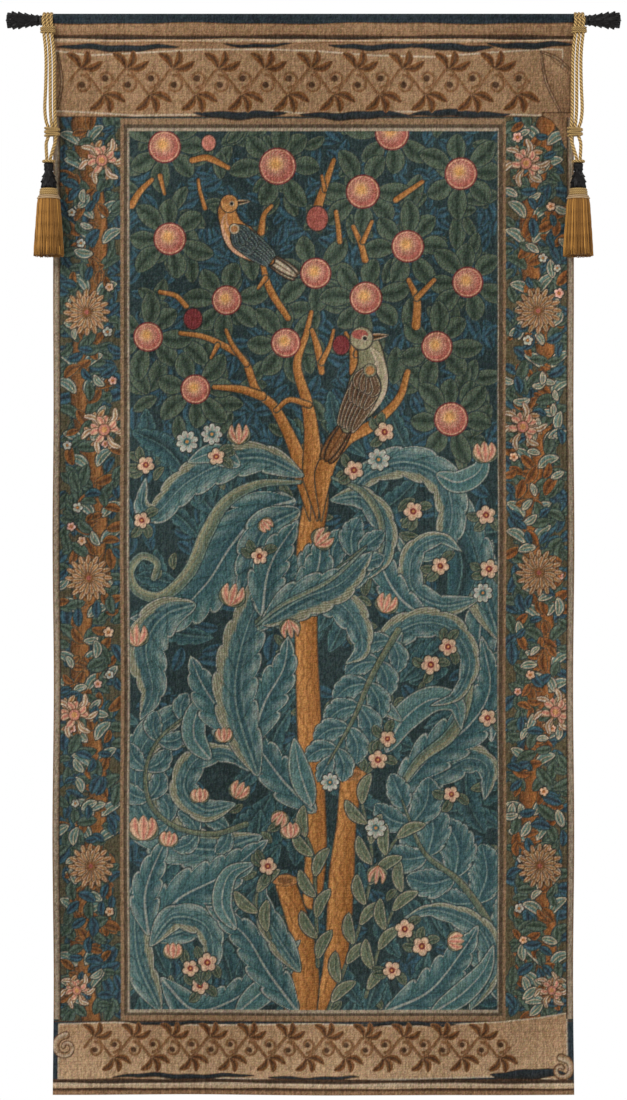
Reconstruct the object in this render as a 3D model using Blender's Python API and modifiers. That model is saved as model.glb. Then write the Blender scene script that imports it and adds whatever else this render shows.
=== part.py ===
"""A woven tapestry on a rod: two wall hooks, a bar with leaf finials, and a tassel tied on at each end.

Metres, +Z up. The wall is the plane Y = 0 and the room is on its -Y side. The origin is on the wall,
midway between the hooks and level with the bar's axis. Pieces of the two ends are mirror copies.
"""

import math

import bmesh
import bpy
from mathutils import Vector

MM = 0.001

# Clearances
CLEARANCE = 0.3 * MM  # between pieces that rest on each other
SIDE_CLEARANCE = 0.4 * MM  # between the cloth's side edge and the cord tied beside it

# Bar and finials
BAR_RADIUS = 6 * MM
BAR_TO_WALL = 22 * MM
PEG_RADIUS = 4.2 * MM
PEG_IN_BAR = 25 * MM
PEG_IN_FINIAL = 11 * MM
FERRULE_RADIUS = 6.8 * MM
FERRULE_LENGTH = 3.8 * MM
FINIAL_LENGTH = 45 * MM
FINIAL_NECK_RADIUS = 5.4 * MM
FINIAL_RADIUS = 12.4 * MM

# Wall hooks, bent from strip
STRIP_THICKNESS = 1.5 * MM
STRIP_WIDTH = 14 * MM
HOOK_X = 250 * MM
HOOK_PLATE_HEIGHT = 52 * MM
HOOK_LIP_ANGLE = math.radians(12)  # how far the lip curls past level
SCREW_HOLE_RADIUS = 2.2 * MM
SCREW_HOLES_BELOW_ARM = (16 * MM, 38 * MM)

# Cloth
PANEL_WIDTH = 696 * MM
PANEL_HEIGHT = 1445 * MM
CLOTH_THICKNESS = 1.6 * MM
LINING_THICKNESS = 0.6 * MM
LINING_INSET = 7 * MM
POCKET_THICKNESS = 0.7 * MM
POCKET_DROP = 27 * MM  # from the bar's axis down to the pocket's lower seam
POCKET_INSET = 9 * MM  # from the cloth's side edge
POCKET_GAP = 26 * MM  # opening in the pocket round each hook

# Cord and tassels
CORD_RADIUS = 2.4 * MM
HITCH_TURNS = 3
WRAP_CLEARANCE = 0.8 * MM  # between the strands, which lean a little, and what gathers them
WRAP_THICKNESS = 1.5 * MM
HITCH_BAND_HEIGHT = 8 * MM
HITCH_BAND_Z = -16 * MM
HITCH_BAND_OFFSET = -1.3 * MM  # from the hitch's middle, outwards
HITCH_BAND_REACH = 0.15  # share of the way from the hitch's face to the tassel's axis
KNOT_HEIGHT = 11 * MM
KNOT_Z = -154 * MM
KNOT_OFFSET = -8.1 * MM
KNOT_REACH = 0.825
TASSEL_OFFSET = -4.0 * MM
TASSEL_TOP_Z = -196 * MM
TASSEL_TO_CLOTH = 0.5 * MM
NECK_RING_RADIUS = 1.9 * MM
CROWN_HEIGHT = 33.5 * MM
CROWN_TOP_RADIUS = 7.2 * MM
CROWN_RADIUS = 10.2 * MM
COLLAR_HEIGHT = 9.7 * MM
COLLAR_RADIUS = 12.3 * MM
CORE_RADIUS = 8 * MM
CORE_IN_SKIRT = 6 * MM
SKIRT_HEIGHT = 80 * MM
SKIRT_TOP_RADIUS = 14.6 * MM
SKIRT_RADIUS = 20.5 * MM

# Round the bar, towards the room
BAR_Y = -BAR_TO_WALL
HOOK_INNER_RADIUS = BAR_RADIUS + CLEARANCE
HOOK_OUTER_RADIUS = HOOK_INNER_RADIUS + STRIP_THICKNESS
LINING_BACK_Y = BAR_Y - HOOK_OUTER_RADIUS - CLEARANCE
LINING_FRONT_Y = LINING_BACK_Y - LINING_THICKNESS
CLOTH_BACK_Y = LINING_FRONT_Y - CLEARANCE
CLOTH_FRONT_Y = CLOTH_BACK_Y - CLOTH_THICKNESS
PANEL_TOP_Z = BAR_RADIUS + CLEARANCE + POCKET_THICKNESS
PANEL_BOTTOM_Z = PANEL_TOP_Z - PANEL_HEIGHT

# Along the bar, from the middle outwards
HITCH_LENGTH = HITCH_TURNS * 2 * CORD_RADIUS
HITCH_START_X = PANEL_WIDTH / 2 + SIDE_CLEARANCE
HITCH_X = HITCH_START_X + HITCH_LENGTH / 2
HITCH_RADIUS = BAR_RADIUS + CLEARANCE + 2 * CORD_RADIUS
STRAND_SPACING = 2 * CORD_RADIUS + CLEARANCE
STRAND_START_Y = BAR_Y - HITCH_RADIUS - CLEARANCE - CORD_RADIUS
BAR_END_X = HITCH_START_X + HITCH_LENGTH + CLEARANCE
FERRULE_X = BAR_END_X + CLEARANCE
FINIAL_X = FERRULE_X + FERRULE_LENGTH + CLEARANCE
PEG_BORE_RADIUS = PEG_RADIUS + CLEARANCE

# The tassel hangs before the cloth, and its skirt just clears it
TASSEL_X = HITCH_X + TASSEL_OFFSET
TASSEL_Y = CLOTH_FRONT_Y - TASSEL_TO_CLOTH - SKIRT_RADIUS

# Routes of the three strands at one end. Each point is: its place among the strands in strand spacings,
# the drift outwards from the hitch's middle in mm, the share of the way from the hitch's face to the
# tassel's axis, and its height in mm. The middle strand ends in the knot, the others in the tassel.
STRAND_ROUTES = {
    "outer": (
        (1, 0, 0, 2), (1, -0.2, 0.04, -4), (1, -1.3, 0.12, -11), (1, -1.3, 0.18, -21),
        (1, -3.5, 0.27, -40), (1, -4.5, 0.37, -60), (1, -4.3, 0.51, -90), (1, -3.3, 0.66, -122),
        (1, -5.3, 0.75, -140), (1, -8.1, 0.8, -148), (1, -8.1, 0.85, -160), (1, -5.7, 0.9, -169),
        (0.75, -4.6, 0.955, -180), (0.5, -4, 1, -189), (0.5, -4, 1, -195.7),
    ),
    "middle": (
        (0, 0, 0, 2), (0, -0.2, 0.04, -4), (0, -1.3, 0.12, -11), (0, -1.3, 0.18, -21),
        (0, -3.6, 0.27, -40), (0, -4.7, 0.37, -60), (0, -5.1, 0.51, -90), (0, -5.6, 0.66, -122),
        (0, -6.9, 0.75, -140), (0, -8.1, 0.8, -148), (0, -8.1, 0.845, -158),
    ),
    "inner": (
        (-1, 0, 0, 2), (-1, -0.2, 0.04, -4), (-1, -1.3, 0.12, -11), (-1, -1.3, 0.18, -21),
        (-1, -3.7, 0.27, -40), (-1, -4.9, 0.37, -60), (-1, -5.4, 0.51, -90), (-1, -5.9, 0.66, -122),
        (-1, -7.1, 0.75, -140), (-1, -8.1, 0.8, -148), (-1, -8.1, 0.85, -160), (-1, -6.9, 0.9, -169),
        (-0.75, -5.1, 0.955, -180), (-0.5, -4, 1, -189), (-0.5, -4, 1, -195.7),
    ),
}
ROUTE_STEPS = 2  # points read from the smooth curve between two of a route's own

TURN_STEPS = 24
CORD_SIDES = 2  # the curve's bevel_resolution

FINISHES = {  # base colour, roughness, metallic
    "woven_wool": ((0.10, 0.17, 0.17), 0.9, 0.0),
    "lining_cotton": ((0.62, 0.55, 0.42), 0.9, 0.0),
    "gold_rope": ((0.72, 0.50, 0.20), 0.6, 0.0),
    "gold_thread": ((0.50, 0.28, 0.06), 0.55, 0.0),
    "black_resin": ((0.02, 0.02, 0.025), 0.3, 0.0),
    "black_iron": ((0.03, 0.03, 0.03), 0.45, 0.8),
    "steel_peg": ((0.45, 0.45, 0.46), 0.4, 1.0),
    "beech_wood": ((0.55, 0.38, 0.22), 0.7, 0.0),
}


def clear_scene():
    for obj in list(bpy.data.objects):
        bpy.data.objects.remove(obj, do_unlink=True)


def new_collection(name):
    collection = bpy.data.collections.new(name)
    bpy.context.scene.collection.children.link(collection)
    return collection


def make_materials():
    made = {}
    for name, (colour, roughness, metallic) in FINISHES.items():
        material = bpy.data.materials.new(name)
        material.use_nodes = True
        shader = material.node_tree.nodes["Principled BSDF"]
        shader.inputs["Base Color"].default_value = (*colour, 1)
        shader.inputs["Roughness"].default_value = roughness
        shader.inputs["Metallic"].default_value = metallic
        made[name] = material
    return made


def add_object(name, data, finish):
    obj = bpy.data.objects.new(name, data)
    parts.objects.link(obj)
    data.materials.append(materials[finish])
    return obj


def add_box(name, finish, low, high):
    """A box between two corners, from the cube primitive."""
    low, high = Vector(low), Vector(high)
    mesh = bpy.data.meshes.new(name)
    shape = bmesh.new()
    bmesh.ops.create_cube(shape, size=1)
    bmesh.ops.scale(shape, vec=high - low, verts=shape.verts)
    shape.to_mesh(mesh)
    shape.free()
    obj = add_object(name, mesh, finish)
    obj.location = (low + high) / 2
    return obj


def add_turned(name, finish, profile, steps=TURN_STEPS):
    """A turned piece about its own Z: profile is (radius, height), from the top down the outer side."""
    mesh = bpy.data.meshes.new(name)
    points = [(radius, 0, height) for radius, height in profile]
    hollow = profile[0][0] > 0
    ends = range(len(points) if hollow else len(points) - 1)
    edges = [(i, (i + 1) % len(points)) for i in ends]
    mesh.from_pydata(points, edges, [])
    obj = add_object(name, mesh, finish)
    screw = obj.modifiers.new("turn", "SCREW")
    screw.steps = screw.render_steps = steps
    screw.use_merge_vertices = True
    screw.merge_threshold = 0.01 * MM
    screw.use_smooth_shade = True
    return obj


def lay_along_x(obj, side):
    """Turns a piece that was turned about Z so that its top points outwards, at the given end."""
    obj.rotation_euler = (0, side * math.pi / 2, 0)


def smooth_route(points, steps):
    """Points of a Catmull-Rom curve through a route's own points."""
    ends = [2 * points[0] - points[1], *points, 2 * points[-1] - points[-2]]
    curve = []
    for a, b, c, d in zip(ends, ends[1:], ends[2:], ends[3:]):
        for step in range(steps):
            t = step / steps
            curve.append(
                0.5 * (2 * b + (c - a) * t + (2 * a - 5 * b + 4 * c - d) * t**2
                       + (3 * b - a - 3 * c + d) * t**3)
            )
    return [*curve, points[-1]]


def add_tube(name, finish, points, radius):
    """A cord along a list of points, with filled ends."""
    curve = bpy.data.curves.new(name, "CURVE")
    curve.dimensions = "3D"
    curve.bevel_depth = radius
    curve.bevel_resolution = CORD_SIDES
    curve.use_fill_caps = True
    spline = curve.splines.new("POLY")
    spline.points.add(len(points) - 1)
    for place, point in zip(spline.points, points):
        place.co = (*point, 1)
    return add_object(name, curve, finish)


def rounded_slot(half_length, radius, steps=8):
    """A slot's outline about its middle: straight sides joined by half rounds, half_length to each centre."""
    outline = []
    for end, start in ((1, -math.pi / 2), (-1, math.pi / 2)):
        for step in range(steps + 1):
            angle = start + math.pi * step / steps
            outline.append((end * half_length + radius * math.cos(angle), radius * math.sin(angle)))
    return outline


def add_outline(name, finish, outlines, depth):
    """A flat piece from closed outlines in its own XY plane, thick along its own Z."""
    curve = bpy.data.curves.new(name, "CURVE")
    curve.dimensions = "2D"
    curve.fill_mode = "BOTH"
    curve.extrude = depth / 2
    for outline in outlines:
        spline = curve.splines.new("POLY")
        spline.points.add(len(outline) - 1)
        spline.use_cyclic_u = True
        for place, (x, y) in zip(spline.points, outline):
            place.co = (x, y, 0, 1)
    return add_object(name, curve, finish)


def to_mesh_object(obj):
    """The same piece as a mesh with its caps welded, so that it can be cut."""
    bpy.context.view_layer.update()
    graph = bpy.context.evaluated_depsgraph_get()
    mesh = bpy.data.meshes.new_from_object(obj.evaluated_get(graph))
    shape = bmesh.new()
    shape.from_mesh(mesh)
    bmesh.ops.remove_doubles(shape, verts=shape.verts, dist=0.01 * MM)
    shape.to_mesh(mesh)
    shape.free()
    name, matrix = obj.name, obj.matrix_world.copy()
    bpy.data.objects.remove(obj, do_unlink=True)
    made = bpy.data.objects.new(name, mesh)
    parts.objects.link(made)
    made.matrix_world = matrix
    return made


def cut_hole(obj, name, place, radius, length):
    """A round hole through obj along Y."""
    mesh = bpy.data.meshes.new(name)
    shape = bmesh.new()
    bmesh.ops.create_cone(shape, cap_ends=True, segments=20, radius1=radius, radius2=radius, depth=length)
    shape.to_mesh(mesh)
    shape.free()
    cutter = bpy.data.objects.new(name, mesh)
    cutters.objects.link(cutter)
    cutter.location = place
    cutter.rotation_euler = (math.pi / 2, 0, 0)
    cutter.hide_render = True
    cutter.display_type = "WIRE"
    boolean = obj.modifiers.new(name, "BOOLEAN")
    boolean.operation = "DIFFERENCE"
    boolean.object = cutter


def make_bar():
    """The bar, with a blind socket in each end for a finial's peg."""
    depth = PEG_IN_BAR + CLEARANCE
    top = BAR_END_X
    bar = add_turned("bar", "black_iron", (
        (0, top - depth), (PEG_BORE_RADIUS, top - depth), (PEG_BORE_RADIUS, top), (BAR_RADIUS, top),
        (BAR_RADIUS, -top), (PEG_BORE_RADIUS, -top), (PEG_BORE_RADIUS, depth - top), (0, depth - top),
    ))
    lay_along_x(bar, 1)
    bar.location = (0, BAR_Y, 0)


def make_finial(end, side):
    """A peg in the bar's socket, a ferrule against the bar's end, and a leaf bud over the peg."""
    peg_length = PEG_IN_BAR + 2 * CLEARANCE + FERRULE_LENGTH + PEG_IN_FINIAL
    peg = add_turned(f"{end}_finial_peg", "steel_peg", (
        (0, peg_length), (PEG_RADIUS, peg_length), (PEG_RADIUS, 0), (0, 0),
    ))
    peg.location = (side * (BAR_END_X - PEG_IN_BAR), BAR_Y, 0)
    rim = 0.9 * MM
    ferrule = add_turned(f"{end}_finial_ferrule", "black_iron", (
        (PEG_BORE_RADIUS, FERRULE_LENGTH), (FERRULE_RADIUS - rim, FERRULE_LENGTH),
        (FERRULE_RADIUS, FERRULE_LENGTH - rim), (FERRULE_RADIUS, rim), (FERRULE_RADIUS - rim, 0),
        (PEG_BORE_RADIUS, 0),
    ))
    ferrule.location = (side * FERRULE_X, BAR_Y, 0)
    bore = PEG_IN_FINIAL + CLEARANCE
    neck, wide, long = FINIAL_NECK_RADIUS, FINIAL_RADIUS, FINIAL_LENGTH
    bud = [  # the bud swells slowly from its neck and closes quickly past its widest place
        (neck + (wide - neck) * math.sin(share * math.pi / 2) ** 1.6, long * (0.14 + 0.56 * share))
        for share in (0, 0.2, 0.4, 0.6, 0.8, 1)
    ]
    tip = [
        (wide * math.cos(angle), long * (0.7 + 0.3 * math.sin(angle)))
        for angle in (math.pi * step / 12 for step in range(5, 0, -1))
    ]
    finial = add_turned(f"{end}_finial", "black_resin", [
        (0, long), *tip, *reversed(bud), (neck, 0), (PEG_BORE_RADIUS, 0), (PEG_BORE_RADIUS, bore), (0, bore),
    ])
    finial.location = (side * FINIAL_X, BAR_Y, 0)
    for piece in (peg, ferrule, finial):
        lay_along_x(piece, side)


def make_wall_hook(end, side):
    """A strip up the wall, bent forwards under the bar and curled up before it."""
    arm_top, arm_bottom = -HOOK_INNER_RADIUS, -HOOK_OUTER_RADIUS
    plate_bottom = arm_bottom - HOOK_PLATE_HEIGHT
    curl = [  # from under the bar round its front to the lip
        -math.pi / 2 - (math.pi / 2 + HOOK_LIP_ANGLE) * step / 12 for step in range(13)
    ]
    outline = [(0, plate_bottom), (0, arm_top)]
    outline += [(BAR_Y + HOOK_INNER_RADIUS * math.cos(a), HOOK_INNER_RADIUS * math.sin(a)) for a in curl]
    curl.reverse()
    outline += [(BAR_Y + HOOK_OUTER_RADIUS * math.cos(a), HOOK_OUTER_RADIUS * math.sin(a)) for a in curl]
    outline += [(-STRIP_THICKNESS, arm_bottom), (-STRIP_THICKNESS, plate_bottom)]
    strip = add_outline(f"{end}_wall_hook", "black_iron", [outline], STRIP_WIDTH)
    strip.rotation_euler = (math.pi / 2, 0, math.pi / 2)  # own X to +Y, own Y to +Z, own Z to +X
    strip.location = (side * HOOK_X, 0, 0)
    hook = to_mesh_object(strip)
    for number, below in enumerate(SCREW_HOLES_BELOW_ARM):
        place = (side * HOOK_X, -STRIP_THICKNESS / 2, arm_bottom - below)
        cut_hole(hook, f"{end}_screw_hole_{number}", place, SCREW_HOLE_RADIUS, 4 * STRIP_THICKNESS)


def make_panel():
    """The woven cloth, its lining, and the pocket behind them in three lengths."""
    half = PANEL_WIDTH / 2
    add_box(
        "woven_cloth", "woven_wool",
        (-half, CLOTH_FRONT_Y, PANEL_BOTTOM_Z), (half, CLOTH_BACK_Y, PANEL_TOP_Z),
    )
    edge = half - LINING_INSET
    add_box(
        "lining", "lining_cotton",
        (-edge, LINING_FRONT_Y, PANEL_BOTTOM_Z + LINING_INSET),
        (edge, LINING_BACK_Y, PANEL_TOP_Z - CLEARANCE),
    )
    gap_start, gap_end = HOOK_X - POCKET_GAP / 2, HOOK_X + POCKET_GAP / 2
    pocket_end = half - POCKET_INSET
    for name, start, end in (
        ("left_rod_pocket", -pocket_end, -gap_end),
        ("centre_rod_pocket", -gap_start, gap_start),
        ("right_rod_pocket", gap_end, pocket_end),
    ):
        make_pocket(name, start, end)


def make_pocket(name, start, end):
    """A tube of cloth: flat on the lining, round over the bar, and drawn in below to the lower seam."""
    front = LINING_BACK_Y + CLEARANCE + POCKET_THICKNESS
    over = BAR_RADIUS + CLEARANCE
    section = [  # the tube's inner side, from the front's foot up and over the bar
        (front, -POCKET_DROP), (front, -over), (front, 0.35 * over), (front + 0.12 * over, 0.72 * over),
    ]
    section += [
        (BAR_Y + over * math.cos(angle), over * math.sin(angle))
        for angle in (math.radians(degrees) for degrees in (122, 100, 78, 56, 34, 12, -10))
    ]
    section += [(BAR_Y + 0.62 * over, -0.45 * POCKET_DROP), (front + 1.6 * MM, -POCKET_DROP)]
    mesh = bpy.data.meshes.new(name)
    shape = bmesh.new()
    ring = [shape.verts.new((start, y, z)) for y, z in section]
    edges = [shape.edges.new((a, b)) for a, b in zip(ring, ring[1:] + ring[:1])]
    swept = bmesh.ops.extrude_edge_only(shape, edges=edges)["geom"]
    moved = [item for item in swept if isinstance(item, bmesh.types.BMVert)]
    bmesh.ops.translate(shape, verts=moved, vec=(end - start, 0, 0))
    bmesh.ops.recalc_face_normals(shape, faces=shape.faces)
    shape.to_mesh(mesh)
    shape.free()
    pocket = add_object(name, mesh, "lining_cotton")
    wall = pocket.modifiers.new("cloth", "SOLIDIFY")
    wall.thickness = POCKET_THICKNESS
    wall.offset = 1
    wall.use_even_offset = True


def reach(share):
    """Y of a point that lies a share of the way from the hitch's face to the tassel's axis."""
    return STRAND_START_Y + share * (TASSEL_Y - STRAND_START_Y)


def make_cords(end, side):
    """The hitch round the bar, three strands, and the band and the knot that gather them."""
    half, outer, inner = HITCH_LENGTH / 2, HITCH_RADIUS, BAR_RADIUS + CLEARANCE
    soft = CORD_RADIUS / 2
    hitch = add_turned(f"{end}_hitch", "gold_rope", (
        (inner, half), (outer - soft, half), (outer, half - soft),
        (outer, soft - half), (outer - soft, -half), (inner, -half),
    ))
    lay_along_x(hitch, side)
    hitch.location = (side * HITCH_X, BAR_Y, 0)
    for strand, route in STRAND_ROUTES.items():
        own = [
            Vector((side * (HITCH_X + place * STRAND_SPACING + drift * MM), reach(share), height * MM))
            for place, drift, share, height in route
        ]
        add_tube(f"{end}_{strand}_strand", "gold_rope", smooth_route(own, ROUTE_STEPS), CORD_RADIUS)
    opening = CORD_RADIUS + WRAP_CLEARANCE
    section = [rounded_slot(STRAND_SPACING, opening + WRAP_THICKNESS), rounded_slot(STRAND_SPACING, opening)]
    band = add_outline(f"{end}_hitch_band", "gold_rope", section, HITCH_BAND_HEIGHT)
    band.location = (side * (HITCH_X + HITCH_BAND_OFFSET), reach(HITCH_BAND_REACH), HITCH_BAND_Z)
    knot = add_outline(f"{end}_knot", "gold_rope", section, KNOT_HEIGHT)
    knot.location = (side * (HITCH_X + KNOT_OFFSET), reach(KNOT_REACH), KNOT_Z)


def make_tassel(end, side):
    """A rope ring, a carved head, a collar, the wooden core they sit on, and the skirt of threads."""
    top = bpy.data.objects.new(f"{end}_tassel_top", None)
    parts.objects.link(top)
    top.location = (side * TASSEL_X, TASSEL_Y, TASSEL_TOP_Z)
    opening = STRAND_SPACING / 2 + CORD_RADIUS + CLEARANCE
    middle, seat = opening + NECK_RING_RADIUS, CLEARANCE + NECK_RING_RADIUS
    ring = add_turned(f"{end}_neck_ring", "gold_rope", [
        (middle + NECK_RING_RADIUS * math.cos(a), seat + NECK_RING_RADIUS * math.sin(a))
        for a in (math.pi - 2 * math.pi * step / 12 for step in range(12))
    ])
    wide, narrow, tall = CROWN_RADIUS, CROWN_TOP_RADIUS, CROWN_HEIGHT
    crown = add_turned(f"{end}_tassel_head", "black_resin", (
        (0, 0), (narrow, 0), (narrow, -0.09 * tall), (0.82 * narrow, -0.2 * tall),
        (0.86 * narrow, -0.36 * tall), (narrow, -0.47 * tall), (0.9 * wide, -0.6 * tall),
        (wide, -0.76 * tall), (0.97 * wide, -0.9 * tall), (0.88 * wide, -tall), (0, -tall),
    ))
    below = -tall - CLEARANCE
    collar_inner = CORE_RADIUS + CLEARANCE
    swell = COLLAR_RADIUS - collar_inner
    collar = add_turned(f"{end}_tassel_collar", "gold_rope", [
        (collar_inner, below), (collar_inner + 0.7 * swell, below),
        (COLLAR_RADIUS, below - 0.3 * COLLAR_HEIGHT), (COLLAR_RADIUS, below - 0.7 * COLLAR_HEIGHT),
        (collar_inner + 0.8 * swell, below - COLLAR_HEIGHT), (collar_inner, below - COLLAR_HEIGHT),
    ])
    core_height = COLLAR_HEIGHT + CLEARANCE + CORE_IN_SKIRT
    core = add_turned(f"{end}_tassel_core", "beech_wood", (
        (0, below), (CORE_RADIUS, below), (CORE_RADIUS, below - core_height), (0, below - core_height),
    ))
    skirt_top = below - COLLAR_HEIGHT - CLEARANCE
    floor = skirt_top - CORE_IN_SKIRT - CLEARANCE
    shoulder, hem = SKIRT_TOP_RADIUS, SKIRT_RADIUS
    flare = [  # the threads spread slowly and evenly below the shoulder
        (shoulder + (hem - shoulder) * share**0.8, skirt_top - SKIRT_HEIGHT * (0.08 + 0.9 * share))
        for share in (0, 0.25, 0.5, 0.75, 1)
    ]
    skirt = add_turned(f"{end}_tassel_skirt", "gold_thread", [
        (0, floor), (collar_inner, floor), (collar_inner, skirt_top), (0.8 * shoulder, skirt_top),
        (0.95 * shoulder, skirt_top - 0.03 * SKIRT_HEIGHT), *flare,
        (0.97 * hem, skirt_top - SKIRT_HEIGHT), (0, skirt_top - SKIRT_HEIGHT),
    ])
    for piece in (ring, crown, collar, core, skirt):
        piece.parent = top


clear_scene()
parts = new_collection("tapestry_wall_hanging")
cutters = new_collection("cutters")
materials = make_materials()
make_bar()
make_panel()
for end, side in (("left", -1), ("right", 1)):
    make_wall_hook(end, side)
    make_finial(end, side)
    make_cords(end, side)
    make_tassel(end, side)
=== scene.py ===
from functools import partial

import bpy
import numpy as np
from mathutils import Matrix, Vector


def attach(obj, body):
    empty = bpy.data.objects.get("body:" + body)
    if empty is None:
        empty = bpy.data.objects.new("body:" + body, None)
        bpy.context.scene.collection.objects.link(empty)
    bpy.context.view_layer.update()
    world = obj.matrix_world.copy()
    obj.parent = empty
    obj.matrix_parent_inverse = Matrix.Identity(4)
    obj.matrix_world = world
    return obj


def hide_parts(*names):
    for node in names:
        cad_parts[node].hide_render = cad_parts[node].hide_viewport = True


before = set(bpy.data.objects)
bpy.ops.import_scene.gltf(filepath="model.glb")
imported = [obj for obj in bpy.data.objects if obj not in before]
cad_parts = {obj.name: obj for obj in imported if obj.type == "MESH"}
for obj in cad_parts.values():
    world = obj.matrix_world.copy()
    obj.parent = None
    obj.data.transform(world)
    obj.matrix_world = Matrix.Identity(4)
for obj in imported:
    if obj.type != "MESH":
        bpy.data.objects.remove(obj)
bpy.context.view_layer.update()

mm = 0.001
scene = bpy.context.scene


# View, light and floor

studio = {"lens": 85, "sensor": 36, "frameHeight": 1.4696, "middleZ": -0.7097, "clothFront": -0.0326,
          "room": 0.62, "floorZ": -1.76, "floorRadius": 1.15, "floorGrid": (24, 96)}
lamps = {  # place, size, power and tint
    "keyLamp": ((-1.7, -2.6, 0.9), 1.1, 46, (1, 0.985, 0.96)),
    "fillLamp": ((2.2, -2.4, -0.6), 1.6, 15, (0.96, 0.98, 1)),
    "backLamp": ((1.2, 2.6, 0.3), 1.6, 19.5, (1, 1, 1)),
}


def aimAt(thing, place, target):
    thing.location = place
    thing.rotation_euler = (Vector(target) - Vector(place)).to_track_quat("-Z", "Y").to_euler()


def addLamp(name, place, size, power, tint):
    lamp = bpy.data.lights.new(name, "AREA")
    lamp.shape, lamp.size, lamp.energy, lamp.color = "DISK", size, power, tint
    holder = bpy.data.objects.new(name, lamp)
    scene.collection.objects.link(holder)
    aimAt(holder, place, (0, 0, studio["middleZ"]))


def setStudio():
    # the camera stands as far off as its lens needs for the height of the view
    camera = bpy.data.cameras.new("camera")
    camera.sensor_fit, camera.sensor_height, camera.lens = "VERTICAL", studio["sensor"], studio["lens"]
    holder = bpy.data.objects.new("camera", camera)
    scene.collection.objects.link(holder)
    away = studio["frameHeight"] * studio["lens"] / studio["sensor"]
    place = (0, studio["clothFront"] - away, studio["middleZ"])
    aimAt(holder, place, (0, 0, studio["middleZ"]))
    scene.camera = holder
    for name, row in lamps.items():
        addLamp(name, *row)
    world = bpy.data.worlds.new("room")
    world.use_nodes = True
    scene.world = world
    nodes, links = world.node_tree.nodes, world.node_tree.links
    nodes.clear()
    seen, room = nodes.new("ShaderNodeBackground"), nodes.new("ShaderNodeBackground")
    seen.inputs["Color"].default_value = room.inputs["Color"].default_value = (1, 1, 1, 1)
    seen.inputs["Strength"].default_value, room.inputs["Strength"].default_value = 1.0, studio["room"]
    pick, ray = nodes.new("ShaderNodeMixShader"), nodes.new("ShaderNodeLightPath")
    out = nodes.new("ShaderNodeOutputWorld")
    links.new(ray.outputs["Is Camera Ray"], pick.inputs["Fac"])
    links.new(room.outputs[0], pick.inputs[1])
    links.new(seen.outputs[0], pick.inputs[2])
    links.new(pick.outputs[0], out.inputs["Surface"])
    scene.view_settings.view_transform = "Standard"
    print("studio set")


# Meshes from grids

def gridFaces(rows, columns, closeRows=False, closeColumns=False, first=0):
    # quads between neighbouring points of a grid whose points run row by row
    i = np.arange(rows if closeRows else rows - 1)[:, None]
    j = np.arange(columns if closeColumns else columns - 1)[None]
    below, beside = (i + 1) % rows, (j + 1) % columns
    corners = i * columns + j, i * columns + beside, below * columns + beside, below * columns + j
    return np.stack(corners, -1).reshape(-1, 4) + first


def fanFaces(ring, hub, flip=False):
    # triangles from a closed ring of points to one in its middle
    after = np.roll(ring, -1)
    pair = (after, ring) if flip else (ring, after)
    return np.stack([*pair, np.full(len(ring), hub)], 1)


def turnedFaces(rows, columns, flip=False):
    # a turned solid: its grid, then a fan at each end, to the two hubs that follow the grid's points
    first, last = np.arange(columns), (rows - 1) * columns + np.arange(columns)
    hub = rows * columns
    caps = fanFaces(first, hub, True), fanFaces(last, hub + 1)
    sets = [gridFaces(rows, columns, closeColumns=True), *caps]
    return [faces[:, ::-1] for faces in sets] if flip else sets


def repeatFaces(faces, count, size):
    # the same faces for each of many like parts, each part with its own number of points
    step = (np.arange(count) * size)[:, None, None]
    return (faces[None] + step).reshape(-1, faces.shape[1])


def addPiece(name, points, faceSets, finish, body, stands=(), uv=None, values=None):
    # one mesh from arrays of points and of faces; values are numbers or colours kept on the points
    mesh = bpy.data.meshes.new(name)
    points = np.asarray(points, np.float32).reshape(-1, 3)
    corners = np.concatenate([faces.ravel() for faces in faceSets])
    totals = np.concatenate([np.full(len(faces), faces.shape[1]) for faces in faceSets])
    mesh.vertices.add(len(points))
    mesh.vertices.foreach_set("co", points.ravel())
    mesh.loops.add(len(corners))
    mesh.loops.foreach_set("vertex_index", corners.astype(np.int32))
    mesh.polygons.add(len(totals))
    mesh.polygons.foreach_set("loop_start", (np.cumsum(totals) - totals).astype(np.int32))
    mesh.polygons.foreach_set("loop_total", totals.astype(np.int32))
    mesh.update(calc_edges=True)
    mesh.validate()
    mesh.polygons.foreach_set("use_smooth", np.ones(len(totals), bool))
    if uv is not None:
        layer = mesh.uv_layers.new(name="surface")
        layer.data.foreach_set("uv", np.asarray(uv, np.float32).reshape(-1, 2)[corners].ravel())
    for label, data in (values or {}).items():
        data = np.asarray(data, np.float32)
        if data.ndim == 2:
            kept = mesh.color_attributes.new(label, "FLOAT_COLOR", "POINT")
            solid = np.column_stack([data, np.ones(len(data))]).astype(np.float32)
            kept.data.foreach_set("color", solid.ravel())
        else:
            kept = mesh.attributes.new(label, "FLOAT", "POINT")
            kept.data.foreach_set("value", data.ravel())
    piece = bpy.data.objects.new(name, mesh)
    scene.collection.objects.link(piece)
    mesh.materials.append(materials[finish])
    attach(piece, body)
    if stands:
        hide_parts(*stands)
    return piece


# Finishes

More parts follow.
